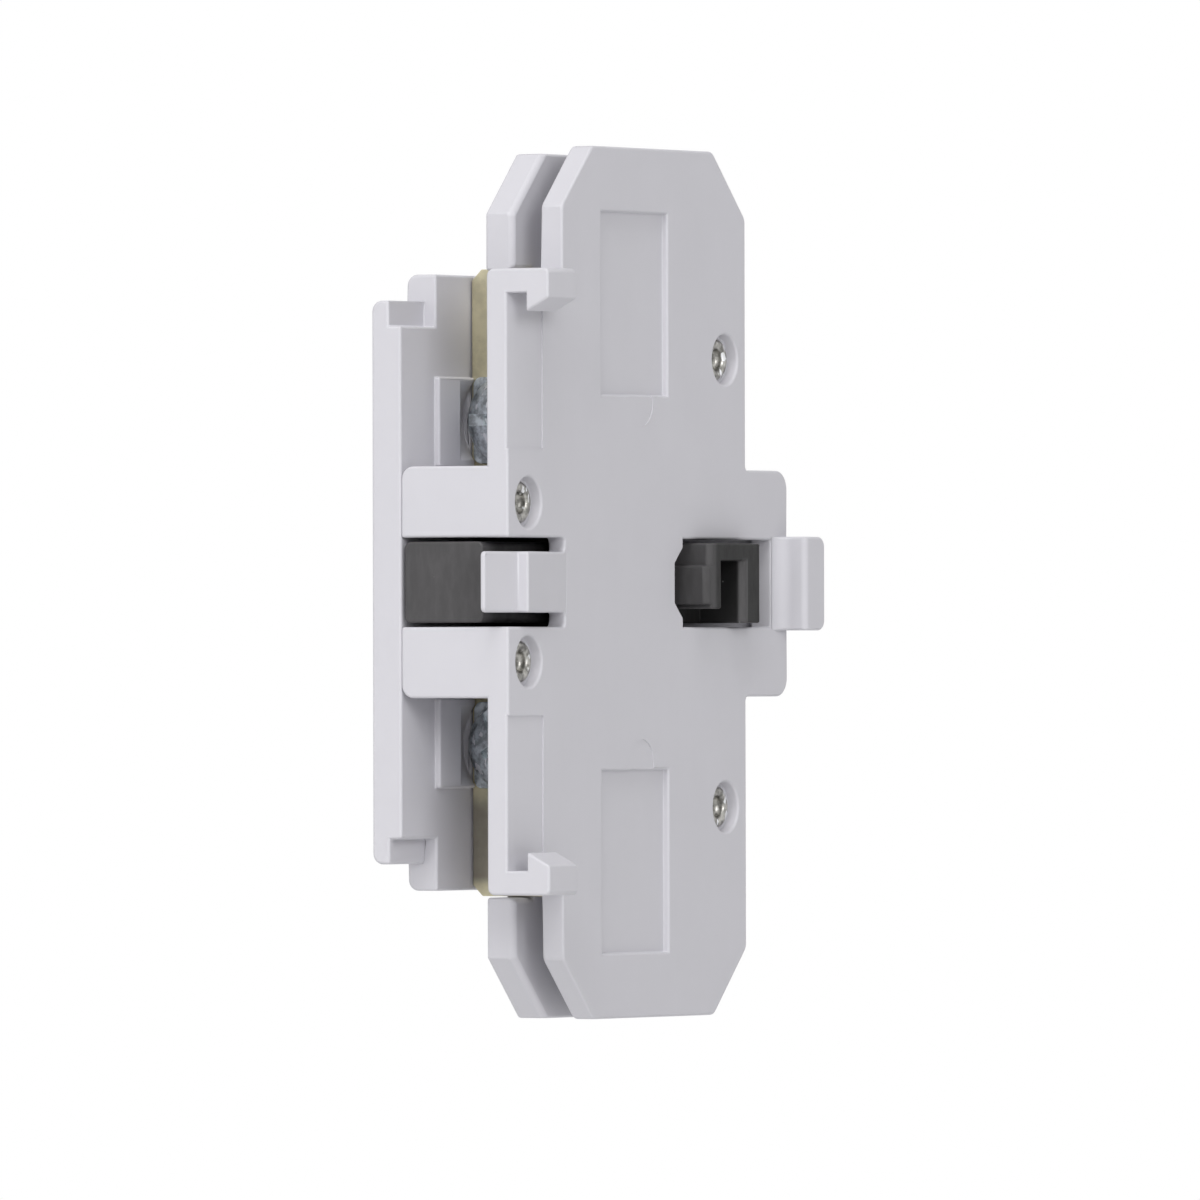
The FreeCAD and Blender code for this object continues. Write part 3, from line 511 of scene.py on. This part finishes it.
def pointed_corners(sharp):
    """Places where two sharp edges leave a corner in almost the same direction, with no room between them."""
    leaving = {}
    for edge in sharp:
        for vertex in edge.verts:
            leaving.setdefault(vertex, []).append((edge.other_vert(vertex).co - vertex.co).normalized())
    return [vertex.co.copy() for vertex, ways in leaving.items()
            if any(a.dot(b) > SAME_WAY for i, a in enumerate(ways) for b in ways[i + 1:])]


# A face larger than this shades quite flat, and so do its neighbours that are level with it by this cosine
WIDE_FACE = 8 * MM * MM
LEVEL = 0.98


def flatten_shading(piece):
    """Makes wide flat faces, and slivers level with them, shade quite flat up to the roundings at their edges."""
    mesh = piece.data
    faces = mesh.polygons
    flat = {face.index: face.normal.copy() for face in faces if face.area > WIDE_FACE}
    sharing = {}
    for face in faces:
        for edge in face.edge_keys:
            sharing.setdefault(edge, []).append(face.index)
    neighbours = [pair for pair in sharing.values() if len(pair) == 2]
    for _ in range(3):
        for pair in neighbours:
            for one, other in (pair, pair[::-1]):
                if one in flat and other not in flat and flat[one].dot(faces[other].normal) > LEVEL:
                    flat[other] = flat[one]
    normals = [corner.vector.copy() for corner in mesh.corner_normals]
    for index, normal in flat.items():
        for corner in faces[index].loop_indices:
            normals[corner] = normal
    mesh.normals_split_custom_set(normals)


def within(edge, boxes):
    """Whether both ends of an edge lie in one of these boxes of (low corner, high corner)."""
    return any(all(low[i] <= vertex.co[i] <= high[i] for vertex in edge.verts for i in range(3))
               for low, high in boxes)


# An edge is rounded where its faces turn by at least this much
SHARP = math.radians(28.0)
# Sharp edges shorter than this are the facets of a curve
FACET = 0.3 * MM
# A face narrower than this keeps its edges, and of a wider one a rounding takes these shares
NARROW = 0.2 * MM
SHARE, LARGE_SHARE = 0.38, 0.45
# A rounding in a hollow corner, and near a corner that runs to a point, as shares of width and distance
HOLLOW = 0.6
POINTED = 0.25


def soften(piece, width, steps, rounder=(), radius=0.0, cuts=()):
    """Rounds the sharp edges of a merged copy, less where a face is narrow, the corner is hollow or two edges part.

    Edges within the rounder boxes get radius, and the piece is first cut across at the places cuts along Y.
    """
    widest = max(width, radius)
    with Editing(piece) as mesh:
        layers = mesh.edges.layers.float
        weights = layers.get("bevel_weight_edge") or layers.new("bevel_weight_edge")
        sharp = {edge for edge in mesh.edges if len(edge.link_faces) == 2 and edge.calc_face_angle(0.0) >= SHARP}
        curved = {edge for edge in sharp if edge.calc_length() < FACET}
        points = pointed_corners(sharp)
        for edge in sharp:
            reach = min(room(edge, face) for face in edge.link_faces)
            wanted = min(width, reach * SHARE) if reach > NARROW else 0.0
            if not edge.is_convex:
                near = {other for vertex in edge.verts for other in vertex.link_edges}
                wanted *= 0.0 if near & curved else HOLLOW
            elif edge in curved and points:
                middle = (edge.verts[0].co + edge.verts[1].co) / 2
                wanted = min(wanted, POINTED * min((middle - point).length for point in points))
            elif within(edge, rounder):
                wanted = min(radius, reach * LARGE_SHARE)
            edge[weights] = wanted / widest
        bmesh.update_edit_mesh(piece.data)
        for place in cuts:
            bpy.ops.mesh.select_all(action="SELECT")
            bpy.ops.mesh.bisect(plane_co=(0, place, 0), plane_no=(0, 1, 0), threshold=CUT_REACH)
        bpy.ops.mesh.select_mode(type="FACE")
        bpy.ops.mesh.select_face_by_sides(number=4, type="GREATER", extend=False)
        bpy.ops.mesh.quads_convert_to_tris(quad_method="BEAUTY", ngon_method="BEAUTY")
        bpy.ops.mesh.select_mode(type="VERT")
    apply(piece, "BEVEL", width=widest, segments=steps, limit_method="WEIGHT", use_clamp_overlap=False,
          loop_slide=False, profile=0.5, miter_outer="MITER_SHARP", harden_normals=False)
    with Editing(piece):
        bpy.ops.mesh.dissolve_limited(angle_limit=SLIVER)
    smooth(piece, 40.0)
    apply(piece, "WEIGHTED_NORMAL", keep_sharp=True, weight=70)
    flatten_shading(piece)


def lathe(name, rings, place, axis, sides):
    """Turns a profile of (radius, height) rings round an axis through place, by extruding and resizing a circle.

    The first ring and the last have no radius: there the piece closes on the axis.
    """
    height = rings[0][1]
    radius = rings[1][0]
    bpy.ops.object.select_all(action="DESELECT")
    bpy.ops.mesh.primitive_circle_add(vertices=sides, radius=radius, location=(0, 0, 0))
    piece = bpy.context.active_object
    piece.name = name
    with Editing(piece):
        bpy.ops.transform.translate(value=(0, 0, height))
        bpy.ops.mesh.extrude_edges_move(TRANSFORM_OT_translate={"value": (0, 0, 0)})
        bpy.ops.mesh.merge(type="CENTER")
        bpy.ops.mesh.select_all(action="DESELECT")
        bpy.ops.mesh.select_non_manifold()
        for wide, high in rings[1:]:
            bpy.ops.mesh.extrude_edges_move(TRANSFORM_OT_translate={"value": (0, 0, high - height)})
            if wide:
                bpy.ops.transform.resize(value=(wide / radius, wide / radius, 1.0))
                radius = wide
            else:
                bpy.ops.mesh.merge(type="CENTER")
            height = high
        bpy.ops.mesh.select_all(action="SELECT")
        bpy.ops.mesh.remove_doubles(threshold=WELD)
        bpy.ops.mesh.normals_make_consistent(inside=False)
    if axis == "X":
        piece.rotation_euler = (0.0, math.pi / 2, 0.0)
    elif axis == "Y":
        piece.rotation_euler = (-math.pi / 2, 0.0, 0.0)
    piece.location = place
    settle(piece)
    return piece


def arc(centre, radius, start, end, steps):
    """Profile points on an arc, angles in degrees from the outward direction towards the axis' end."""
    points = []
    for step in range(steps + 1):
        angle = math.radians(start + (end - start) * step / steps)
        points.append((centre[0] + radius * math.cos(angle), centre[1] + radius * math.sin(angle)))
    return points


def bar(name, low, high):
    """A block between two corners, for cutting with."""
    bpy.ops.object.select_all(action="DESELECT")
    middle = [(a + b) / 2 for a, b in zip(low, high)]
    bpy.ops.mesh.primitive_cube_add(size=1.0, location=middle, scale=[b - a for a, b in zip(low, high)])
    piece = bpy.context.active_object
    piece.name = name
    return piece


def cut(piece, tool):
    """Cuts a tool out of a piece and deletes the tool."""
    settle(tool)
    apply(piece, "BOOLEAN", operation="DIFFERENCE", object=tool, solver="EXACT")
    bpy.data.objects.remove(tool)


def dress(piece, finish, body, *nodes):
    """Gives a piece its material and body, and hides the CAD nodes that it stands for."""
    piece.data.materials.clear()
    piece.data.materials.append(finishes()[finish])
    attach(piece, body)
    if nodes:
        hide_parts(*nodes)


# ---------------------------------------------------------------- mouldings

# The wings' points lie above the first height and below the second
UPPER_WING = 28.9 * MM
LOWER_WING = -30.0 * MM


def lower_wings(piece, sag):
    """Moves both wings of the base down a little."""
    with Editing(piece, "DESELECT") as mesh:
        for vertex in mesh.verts:
            vertex.select_set(vertex.co.z > UPPER_WING or vertex.co.z < LOWER_WING)
        mesh.select_flush_mode()
        bmesh.update_edit_mesh(piece.data)
        bpy.ops.transform.translate(value=(0, 0, -sag))


class BLOCK_OT_mouldings(bpy.types.Operator):
    """Grey base and cover with rounded moulded edges"""

    bl_idname = "block.mouldings"
    bl_label = "Grey mouldings"

    # Box round the tail hook's outer edge, which is rounded more
    hook_box = ((2.5 * MM, 48.5 * MM, -6 * MM), (3.2 * MM, 52.5 * MM, 6 * MM))
    # Places along Y where the cover's wide faces are cut across, so that no long sliver runs from a window corner
    cuts = (46.0 * MM, 11.2 * MM)

    def execute(self, context):
        sizes = context.scene.block_sizes
        for node, name in (("base_shell", "base_moulding"), ("cover_shell", "cover_moulding")):
            piece = merged_copy(node, name)
            if node == "base_shell":
                lower_wings(piece, sizes.wing_sag)
            soften(piece, sizes.moulded_edge, sizes.edge_steps, rounder=[self.hook_box], radius=sizes.hook_edge,
                   cuts=self.cuts if node == "cover_shell" else ())
            dress(piece, "housing_grey", "housing", node)
        return {"FINISHED"}


class BLOCK_OT_slider(bpy.types.Operator):
    """Dark slider with its fork and carrier"""

    bl_idname = "block.slider"
    bl_label = "Slider"

    def execute(self, context):
        sizes = context.scene.block_sizes
        piece = merged_copy("slider", "slider_moulding")
        soften(piece, sizes.slider_edge, sizes.edge_steps)
        dress(piece, "slider_black", "slider", "slider")
        return {"FINISHED"}


# ---------------------------------------------------------------- sheet metal

class BLOCK_OT_stampings(bpy.types.Operator):
    """Brass terminals, moving bridge and clamp plates with stamped edges"""

    bl_idname = "block.stampings"
    bl_label = "Stampings"

    def execute(self, context):
        sizes = context.scene.block_sizes
        rows = [("contact_bridge", "moving_bridge", "contact_brass", "bridge")]
        for side, _ in BOTH_SIDES:
            rows.append(("terminal_" + side, "brass_strip_" + side, "contact_brass", "housing"))
            rows.append(("clamp_plate_" + side, "wire_clamp_" + side, "zinc_steel", "clamp_" + side))
        for node, name, finish, body in rows:
            piece = merged_copy(node, name)
            soften(piece, sizes.stamped_edge, 2)
            dress(piece, finish, body, node)
        return {"FINISHED"}


# ---------------------------------------------------------------- terminal screws

# One turn of a thread's outline: whether each point is on the crest, and its share of the pitch
THREAD_OUTLINE = ((0, 0.0), (0, 0.06), (1, 0.44), (1, 0.56), (0, 0.94), (0, 1.0))
# Flat faces round a thread, and points of its turns nearer than this are one
THREAD_SIDES = 32
THREAD_WELD = 0.001 * MM


def threaded_shank(name, centre, radius, start, end, pitch, depth):
    """A helical thread along Y, wound longer than needed and cut square at both ends."""
    root = radius - depth
    bpy.ops.object.select_all(action="DESELECT")
    bpy.ops.mesh.primitive_circle_add(vertices=len(THREAD_OUTLINE), radius=root)
    piece = bpy.context.active_object
    piece.name = name
    with Editing(piece) as mesh:
        # The circle is opened at its last edge and its points become the thread's outline
        mesh.edges.ensure_lookup_table()
        bmesh.ops.delete(mesh, geom=[mesh.edges[-1]], context="EDGES")
        for vertex, (crest, share) in zip(mesh.verts, THREAD_OUTLINE):
            vertex.co = (radius if crest else root, 0.0, share * pitch)
        bmesh.update_edit_mesh(piece.data)
    spare = pitch * 1.5
    turns = math.ceil((end - start) / pitch) + 3
    apply(piece, "SCREW", axis="Z", angle=math.tau, screw_offset=pitch, iterations=turns,
          steps=THREAD_SIDES, render_steps=THREAD_SIDES, use_merge_vertices=False, use_normal_calculate=True)
    with Editing(piece):
        bpy.ops.mesh.remove_doubles(threshold=THREAD_WELD)
        for height, upward in ((spare, -1.0), (spare + end - start, 1.0)):
            bpy.ops.mesh.select_all(action="SELECT")
            bpy.ops.mesh.bisect(plane_co=(0, 0, height), plane_no=(0, 0, upward), use_fill=True,
                                clear_outer=True, threshold=CUT_REACH)
        bpy.ops.mesh.select_all(action="SELECT")
        bpy.ops.mesh.normals_make_consistent(inside=False)
    piece.rotation_euler = (-math.pi / 2, 0.0, 0.0)
    piece.location = (centre.x, start - spare, centre.z)
    settle(piece)
    return piece


class BLOCK_OT_screws(bpy.types.Operator):
    """Zinc-plated terminal screws with a slot, a cross recess and a cut thread"""

    bl_idname = "block.screws"
    bl_label = "Terminal screws"

    # How far each head is turned, in degrees
    turned = {"upper": 0.0, "lower": 62.0}
    # The domed crown, from the axis to the rim, as shares of the head's radius and the dome's height
    dome_outline = ((0.0, 0.0), (0.25, 0.02), (0.45, 0.1), (0.62, 0.24), (0.76, 0.4), (0.87, 0.6),
                    (0.95, 0.82), (1.0, 1.05))
    rim_height = 0.9 * MM
    rim_edge = 0.12 * MM
    neck_radius = 1.9 * MM
    neck_length = 0.3 * MM
    thread_radius = 1.99 * MM
    thread_start = 0.15 * MM
    # The cross recess: its arms' width as a share of the slot's, and their reach as one of the head's radius
    arm_width = 0.75
    arm_reach = 0.52

    def execute(self, context):
        sizes = context.scene.block_sizes
        for side, sign in BOTH_SIDES:
            node = "terminal_screw_" + side
            low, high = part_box(node)
            centre = (low + high) / 2
            centre.z = sign * abs(centre.z)
            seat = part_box("clamp_plate_" + side)[0].y
            head = (high.x - low.x) / 2
            crown = low.y
            dome = seat - self.rim_height - crown
            tall = seat - crown
            rings = [(head * out, dome * up) for out, up in self.dome_outline]
            rings += [
                (head, tall - self.rim_edge), (head - self.rim_edge, tall), (self.neck_radius, tall),
                (self.neck_radius, tall + self.neck_length), (0.0, tall + self.neck_length),
            ]
            screw = lathe("screw_head_" + side, rings, (centre.x, crown, centre.z), "Y", 72)
            angle = math.radians(self.turned[side])
            half = sizes.slot_width / 2
            arm = (half * self.arm_width, head * self.arm_reach, sizes.head_recess)
            for turn, (wide, reach, depth) in (
                (0.0, (half, head * 1.2, sizes.slot_depth)), (0.0, arm), (math.pi / 2, arm),
            ):
                tool = bar("slot_tool", (-reach, -2 * MM, -wide), (reach, depth, wide))
                # Its place goes into its mesh first, so that it then turns about the screw's axis
                settle(tool)
                tool.rotation_euler = (0.0, angle + turn, 0.0)
                tool.location = (centre.x, crown, centre.z)
                cut(screw, tool)
            smooth(screw, 30.0)
            shank = threaded_shank("shank_" + side, centre, self.thread_radius, seat + self.thread_start,
                                   high.y, sizes.thread_pitch, sizes.thread_depth)
            smooth(shank, 25.0)
            only(shank, screw)
            bpy.ops.object.join()
            screw.name = "clamp_screw_" + side
            dress(screw, "zinc_steel", "screw_" + side, node)
        return {"FINISHED"}


# ---------------------------------------------------------------- rivets, tips and springs

class BLOCK_OT_rivets(bpy.types.Operator):
    """Rivets with a rolled, cupped end in the cover and a low round head in the base"""

    bl_idname = "block.rivets"
    bl_label = "Rivets"

    # The shank's radius, and the head in the base: its height and the rounding of its edge
    shank = 1.5 * MM
    head_height = 0.8 * MM
    head_edge = 0.35 * MM
    # The rolled rim stands on a short straight foot, a little inside the head's width
    foot = 0.08 * MM
    foot_inset = 0.1 * MM
    rim_inset = 0.02 * MM
    # The cup below the rim, as shares of the bore's radius and heights over its bottom
    cup_outline = ((0.93, 0.2 * MM), (0.75, 0.07 * MM), (0.4, 0.0), (0.0, 0.0))

    def execute(self, context):
        sizes = context.scene.block_sizes
        bore = sizes.rivet_bore / 2
        for node in RIVETS:
            low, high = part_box(node)
            centre = (low + high) / 2
            head = (high.y - low.y) / 2
            roll = (head - bore) / 2
            rolled = high.x - low.x - sizes.rivet_roll
            rings = [(0.0, 0.0), (head * 0.7, 0.0)]
            rings += arc((head - self.head_edge, self.head_edge), self.head_edge, -60.0, 20.0, 5)
            rings += [(head, self.head_height), (self.shank, self.head_height), (self.shank, rolled),
                      (head - self.foot_inset, rolled)]
            for degrees in range(0, 181, 15):
                turn = math.radians(degrees)
                rings.append((head - roll + (roll - self.rim_inset) * math.cos(turn),
                              rolled + self.foot + (sizes.rivet_roll - self.foot) * math.sin(turn)))
            cup = rolled + self.foot - sizes.rivet_cup
            rings += [(bore * out, cup + up) for out, up in self.cup_outline]
            rivet = lathe(node + "_metal", rings, (low.x, centre.y, centre.z), "X", 56)
            smooth(rivet, 45.0)
            dress(rivet, "rivet_nickel", "housing", node)
        return {"FINISHED"}


class BLOCK_OT_tips(bpy.types.Operator):
    """Domed silver contact tips"""

    bl_idname = "block.tips"
    bl_label = "Contact tips"

    # The stem's end, as radii and heights
    stem_end = ((0.0, 0.0), (0.62 * MM, 0.0), (0.8 * MM, 0.12 * MM))
    stem_radius = 0.8 * MM
    # The head from its underside to the dome's foot, as distances in from its radius and below the crown
    head_side = ((0.06 * MM, 0.7 * MM), (0.0, 0.62 * MM), (0.0, 0.24 * MM))
    # The dome, as shares of the head's radius and distances below the crown
    dome = ((0.97, 0.17 * MM), (0.85, 0.11 * MM), (0.6, 0.05 * MM), (0.3, 0.012 * MM), (0.0, 0.0))

    def execute(self, context):
        for side, _ in BOTH_SIDES:
            for kind, body, facing in (("bridge_tip_", "bridge", 1.0), ("terminal_tip_", "housing", -1.0)):
                low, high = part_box(kind + side)
                centre = (low + high) / 2
                head = (high.x - low.x) / 2
                tall = high.y - low.y
                rings = [*self.stem_end, (self.stem_radius, tall - self.head_side[0][1])]
                rings += [(head - inset, tall - drop) for inset, drop in self.head_side]
                rings += [(head * share, tall - drop) for share, drop in self.dome]
                start = low.y if facing > 0 else high.y
                tip = lathe("silver_" + kind + side, rings, (0.0, 0.0, 0.0), "Y", 40)
                if facing < 0:
                    tip.rotation_euler = (math.pi, 0.0, 0.0)
                tip.location = (centre.x, start, centre.z)
                settle(tip)
                smooth(tip, 40.0)
                dress(tip, "contact_silver", body, kind + side)
        return {"FINISHED"}


# Closed turns at each end of a spring, their rise as a share of the wire, and points along each turn
DEAD_TURNS = 1.0
CLOSED_RISE = 1.02
TURN_POINTS = 28


def coil(name, node, wire, turns):
    """A compression spring along Y with a closed turn at each end."""
    low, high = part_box(node)
    radius = (high.x - low.x) / 2 - wire / 2
    centre = (low + high) / 2
    start, finish = low.y + wire / 2, high.y - wire / 2
    points = []
    steps = int(turns * TURN_POINTS)
    closed = DEAD_TURNS * wire * CLOSED_RISE
    open_pitch = (finish - start - 2 * closed) / (turns - 2 * DEAD_TURNS)
    for step in range(steps + 1):
        turn = turns * step / steps
        if turn < DEAD_TURNS:
            along = turn * wire * CLOSED_RISE
        elif turn > turns - DEAD_TURNS:
            along = finish - start - (turns - turn) * wire * CLOSED_RISE
        else:
            along = closed + (turn - DEAD_TURNS) * open_pitch
        angle = math.tau * turn
        points.append((centre.x + radius * math.cos(angle), start + along, centre.z + radius * math.sin(angle)))
    bpy.ops.object.select_all(action="DESELECT")
    bpy.ops.curve.primitive_nurbs_path_add()
    line = bpy.context.active_object
    line.name = name
    curve = line.data
    curve.splines.clear()
    spline = curve.splines.new("NURBS")
    spline.points.add(len(points) - 1)
    for point, place in zip(spline.points, points):
        point.co = (*place, 1.0)
    spline.order_u = 3
    spline.use_endpoint_u = True
    curve.resolution_u = 1
    curve.bevel_depth = wire / 2
    curve.bevel_resolution = 3
    curve.use_fill_caps = True
    only(line)
    bpy.ops.object.convert(target="MESH")
    piece = bpy.context.active_object
    with Editing(piece):
        bpy.ops.mesh.remove_doubles(threshold=WELD)
        bpy.ops.mesh.normals_make_consistent(inside=False)
    smooth(piece, 50.0)
    return piece


class BLOCK_OT_springs(bpy.types.Operator):
    """Return spring and contact spring, coiled to fit their CAD nodes"""

    bl_idname = "block.springs"
    bl_label = "Springs"

    def execute(self, context):
        sizes = context.scene.block_sizes
        for node, name, wire, turns, body, joint, fixed_high, travel in (
            ("return_spring", "return_coil", sizes.return_wire, sizes.return_turns,
             "housing", "slider_travel", True, 5.0 * MM),
            ("contact_spring", "contact_coil", sizes.contact_wire, sizes.contact_turns,
             "slider", "bridge_overtravel", False, 2.1 * MM),
        ):
            low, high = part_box(node)
            piece = coil(name, node, wire, turns)
            dress(piece, "spring_steel", body, node)
            anchor = (low + high) / 2
            anchor.y = high.y if fixed_high else low.y
            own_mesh(piece)
        return {"FINISHED"}


# ---------------------------------------------------------------- stage

def light_sky(scene, stage):
    """A world that is white to the camera, gloss and glass, and lights matt faces at its own level for each side."""
    world = bpy.data.worlds.new("soft_sky")
    scene.world = world
    sky = Nodes(world)
    towards = sky.add("ShaderNodeTexCoord", output="Generated")
    level = stage.sky_level
    for name, more, back in zip("XYZ", stage.sky_sides, stage.sky_backs):
        facing = towards.way(name)
        level = level + facing.larger(0.0) * more + (facing * -1.0).larger(0.0) * back
    seen = sky.add("ShaderNodeLightPath", output="Is Camera Ray")
    glossy = sky.add("ShaderNodeLightPath", output="Is Glossy Ray")
    through = sky.add("ShaderNodeLightPath", output="Is Transmission Ray")
    plain = sky.add("ShaderNodeMix", {"clamp_factor": True}, {0: glossy, 2: level, 3: stage.gloss_level})
    shown = sky.add("ShaderNodeMix", {"clamp_factor": True}, {0: seen + through, 2: plain, 3: 1.0})
    sky.set(sky.tree.nodes["Background"], {"Strength": shown, "Color": (1.0, 1.0, 1.0)})


class BLOCK_OT_stage(bpy.types.Operator):
    """Camera, pale floor, three soft lamps and sky"""

    bl_idname = "block.stage"
    bl_label = "Stage"

    # Each lamp's name, the way to it from the block and the setting that holds its power
    lamps = (
        ("key_lamp", (0.138, -0.764, 0.63), "key_power"),
        ("side_lamp", (0.75, -0.55, 0.36), "side_power"),
        ("top_lamp", (0.2, -0.3, 0.93), "top_power"),
    )
    # The floor's two tones, and the size of the patches between them in metres
    paper_tones = ((0.86, 0.86, 0.86), (0.9, 0.9, 0.9))
    paper_patch = 0.05

    def execute(self, context):
        scene = context.scene
        stage = scene.block_stage
        aim = Vector(stage.aim)
        out = Vector((math.sin(stage.azimuth), -math.cos(stage.azimuth), 0.0))
        bpy.ops.object.camera_add()
        camera = context.active_object
        camera.name = "camera"
        camera.location = aim + out * stage.distance
        camera.location.z = stage.horizon
        camera.rotation_euler = (aim - camera.location).to_track_quat("-Z", "Y").to_euler()
        camera.rotation_euler.rotate_axis("Z", stage.roll)
        camera.data.lens = stage.lens
        camera.data.sensor_width = 36.0
        camera.data.clip_end = 50.0
        scene.camera = camera

        low, _ = cad_box
        bpy.ops.mesh.primitive_circle_add(vertices=96, radius=stage.floor_radius, fill_type="NGON",
                                          location=(0.0, 0.0, low.z - stage.floor_drop))
        floor = context.active_object
        floor.name = "floor"
        settle(floor)
        paper = Shader("floor_paper")
        fibre = paper.noise(self.paper_patch, 3.0)
        floor.data.materials.append(paper.finish(**{
            "Base Color": paper.blend(fibre, *self.paper_tones),
            "Roughness": 0.8 + fibre * 0.1,
        }))

        for name, way, power in self.lamps:
            direction = Vector(way)
            bpy.ops.object.light_add(type="AREA", location=direction.normalized() * stage.lamp_reach)
            lamp = context.active_object
            lamp.name = name
            lamp.rotation_euler = direction.to_track_quat("Z", "Y").to_euler()
            lamp.data.shape = "DISK"
            lamp.data.size = stage.lamp_size
            lamp.data.energy = getattr(stage, power)

        light_sky(scene, stage)
        scene.view_settings.view_transform = "Standard"
        return {"FINISHED"}


# ---------------------------------------------------------------- add-on

OPERATORS = (
    BLOCK_OT_stage,
    BLOCK_OT_mouldings,
    BLOCK_OT_slider,
    BLOCK_OT_stampings,
    BLOCK_OT_screws,
    BLOCK_OT_rivets,
    BLOCK_OT_tips,
    BLOCK_OT_springs,
)
# The scene's name for each property group
GROUPS = {"block_sizes": BlockSizes, "block_colours": BlockColours, "block_stage": StageSettings}


class BLOCK_PT_panel(bpy.types.Panel):
    """Sizes, colours and builders of the contact block"""

    bl_label = "Contact Block"
    bl_idname = "BLOCK_PT_panel"
    bl_space_type = "VIEW_3D"
    bl_region_type = "UI"
    bl_category = "Contact Block"

    def draw(self, context):
        layout = self.layout
        for group in GROUPS:
            settings = getattr(context.scene, group)
            box = layout.box()
            for key in settings.__annotations__:
                box.prop(settings, key)
        for operator in OPERATORS:
            layout.operator(operator.bl_idname)


def register():
    for group in GROUPS.values():
        bpy.utils.register_class(group)
    for operator in OPERATORS:
        bpy.utils.register_class(operator)
    bpy.utils.register_class(BLOCK_PT_panel)
    for name, group in GROUPS.items():
        setattr(bpy.types.Scene, name, PointerProperty(type=group))


def unregister():
    for name in GROUPS:
        delattr(bpy.types.Scene, name)
    bpy.utils.unregister_class(BLOCK_PT_panel)
    for operator in reversed(OPERATORS):
        bpy.utils.unregister_class(operator)
    for group in reversed(GROUPS.values()):
        bpy.utils.unregister_class(group)


def main():
    register()
    bpy.ops.block.stage()
    bpy.ops.block.mouldings()
    bpy.ops.block.slider()
    bpy.ops.block.stampings()
    bpy.ops.block.screws()
    bpy.ops.block.rivets()
    bpy.ops.block.tips()
    bpy.ops.block.springs()


if __name__ == "__main__":
    main()
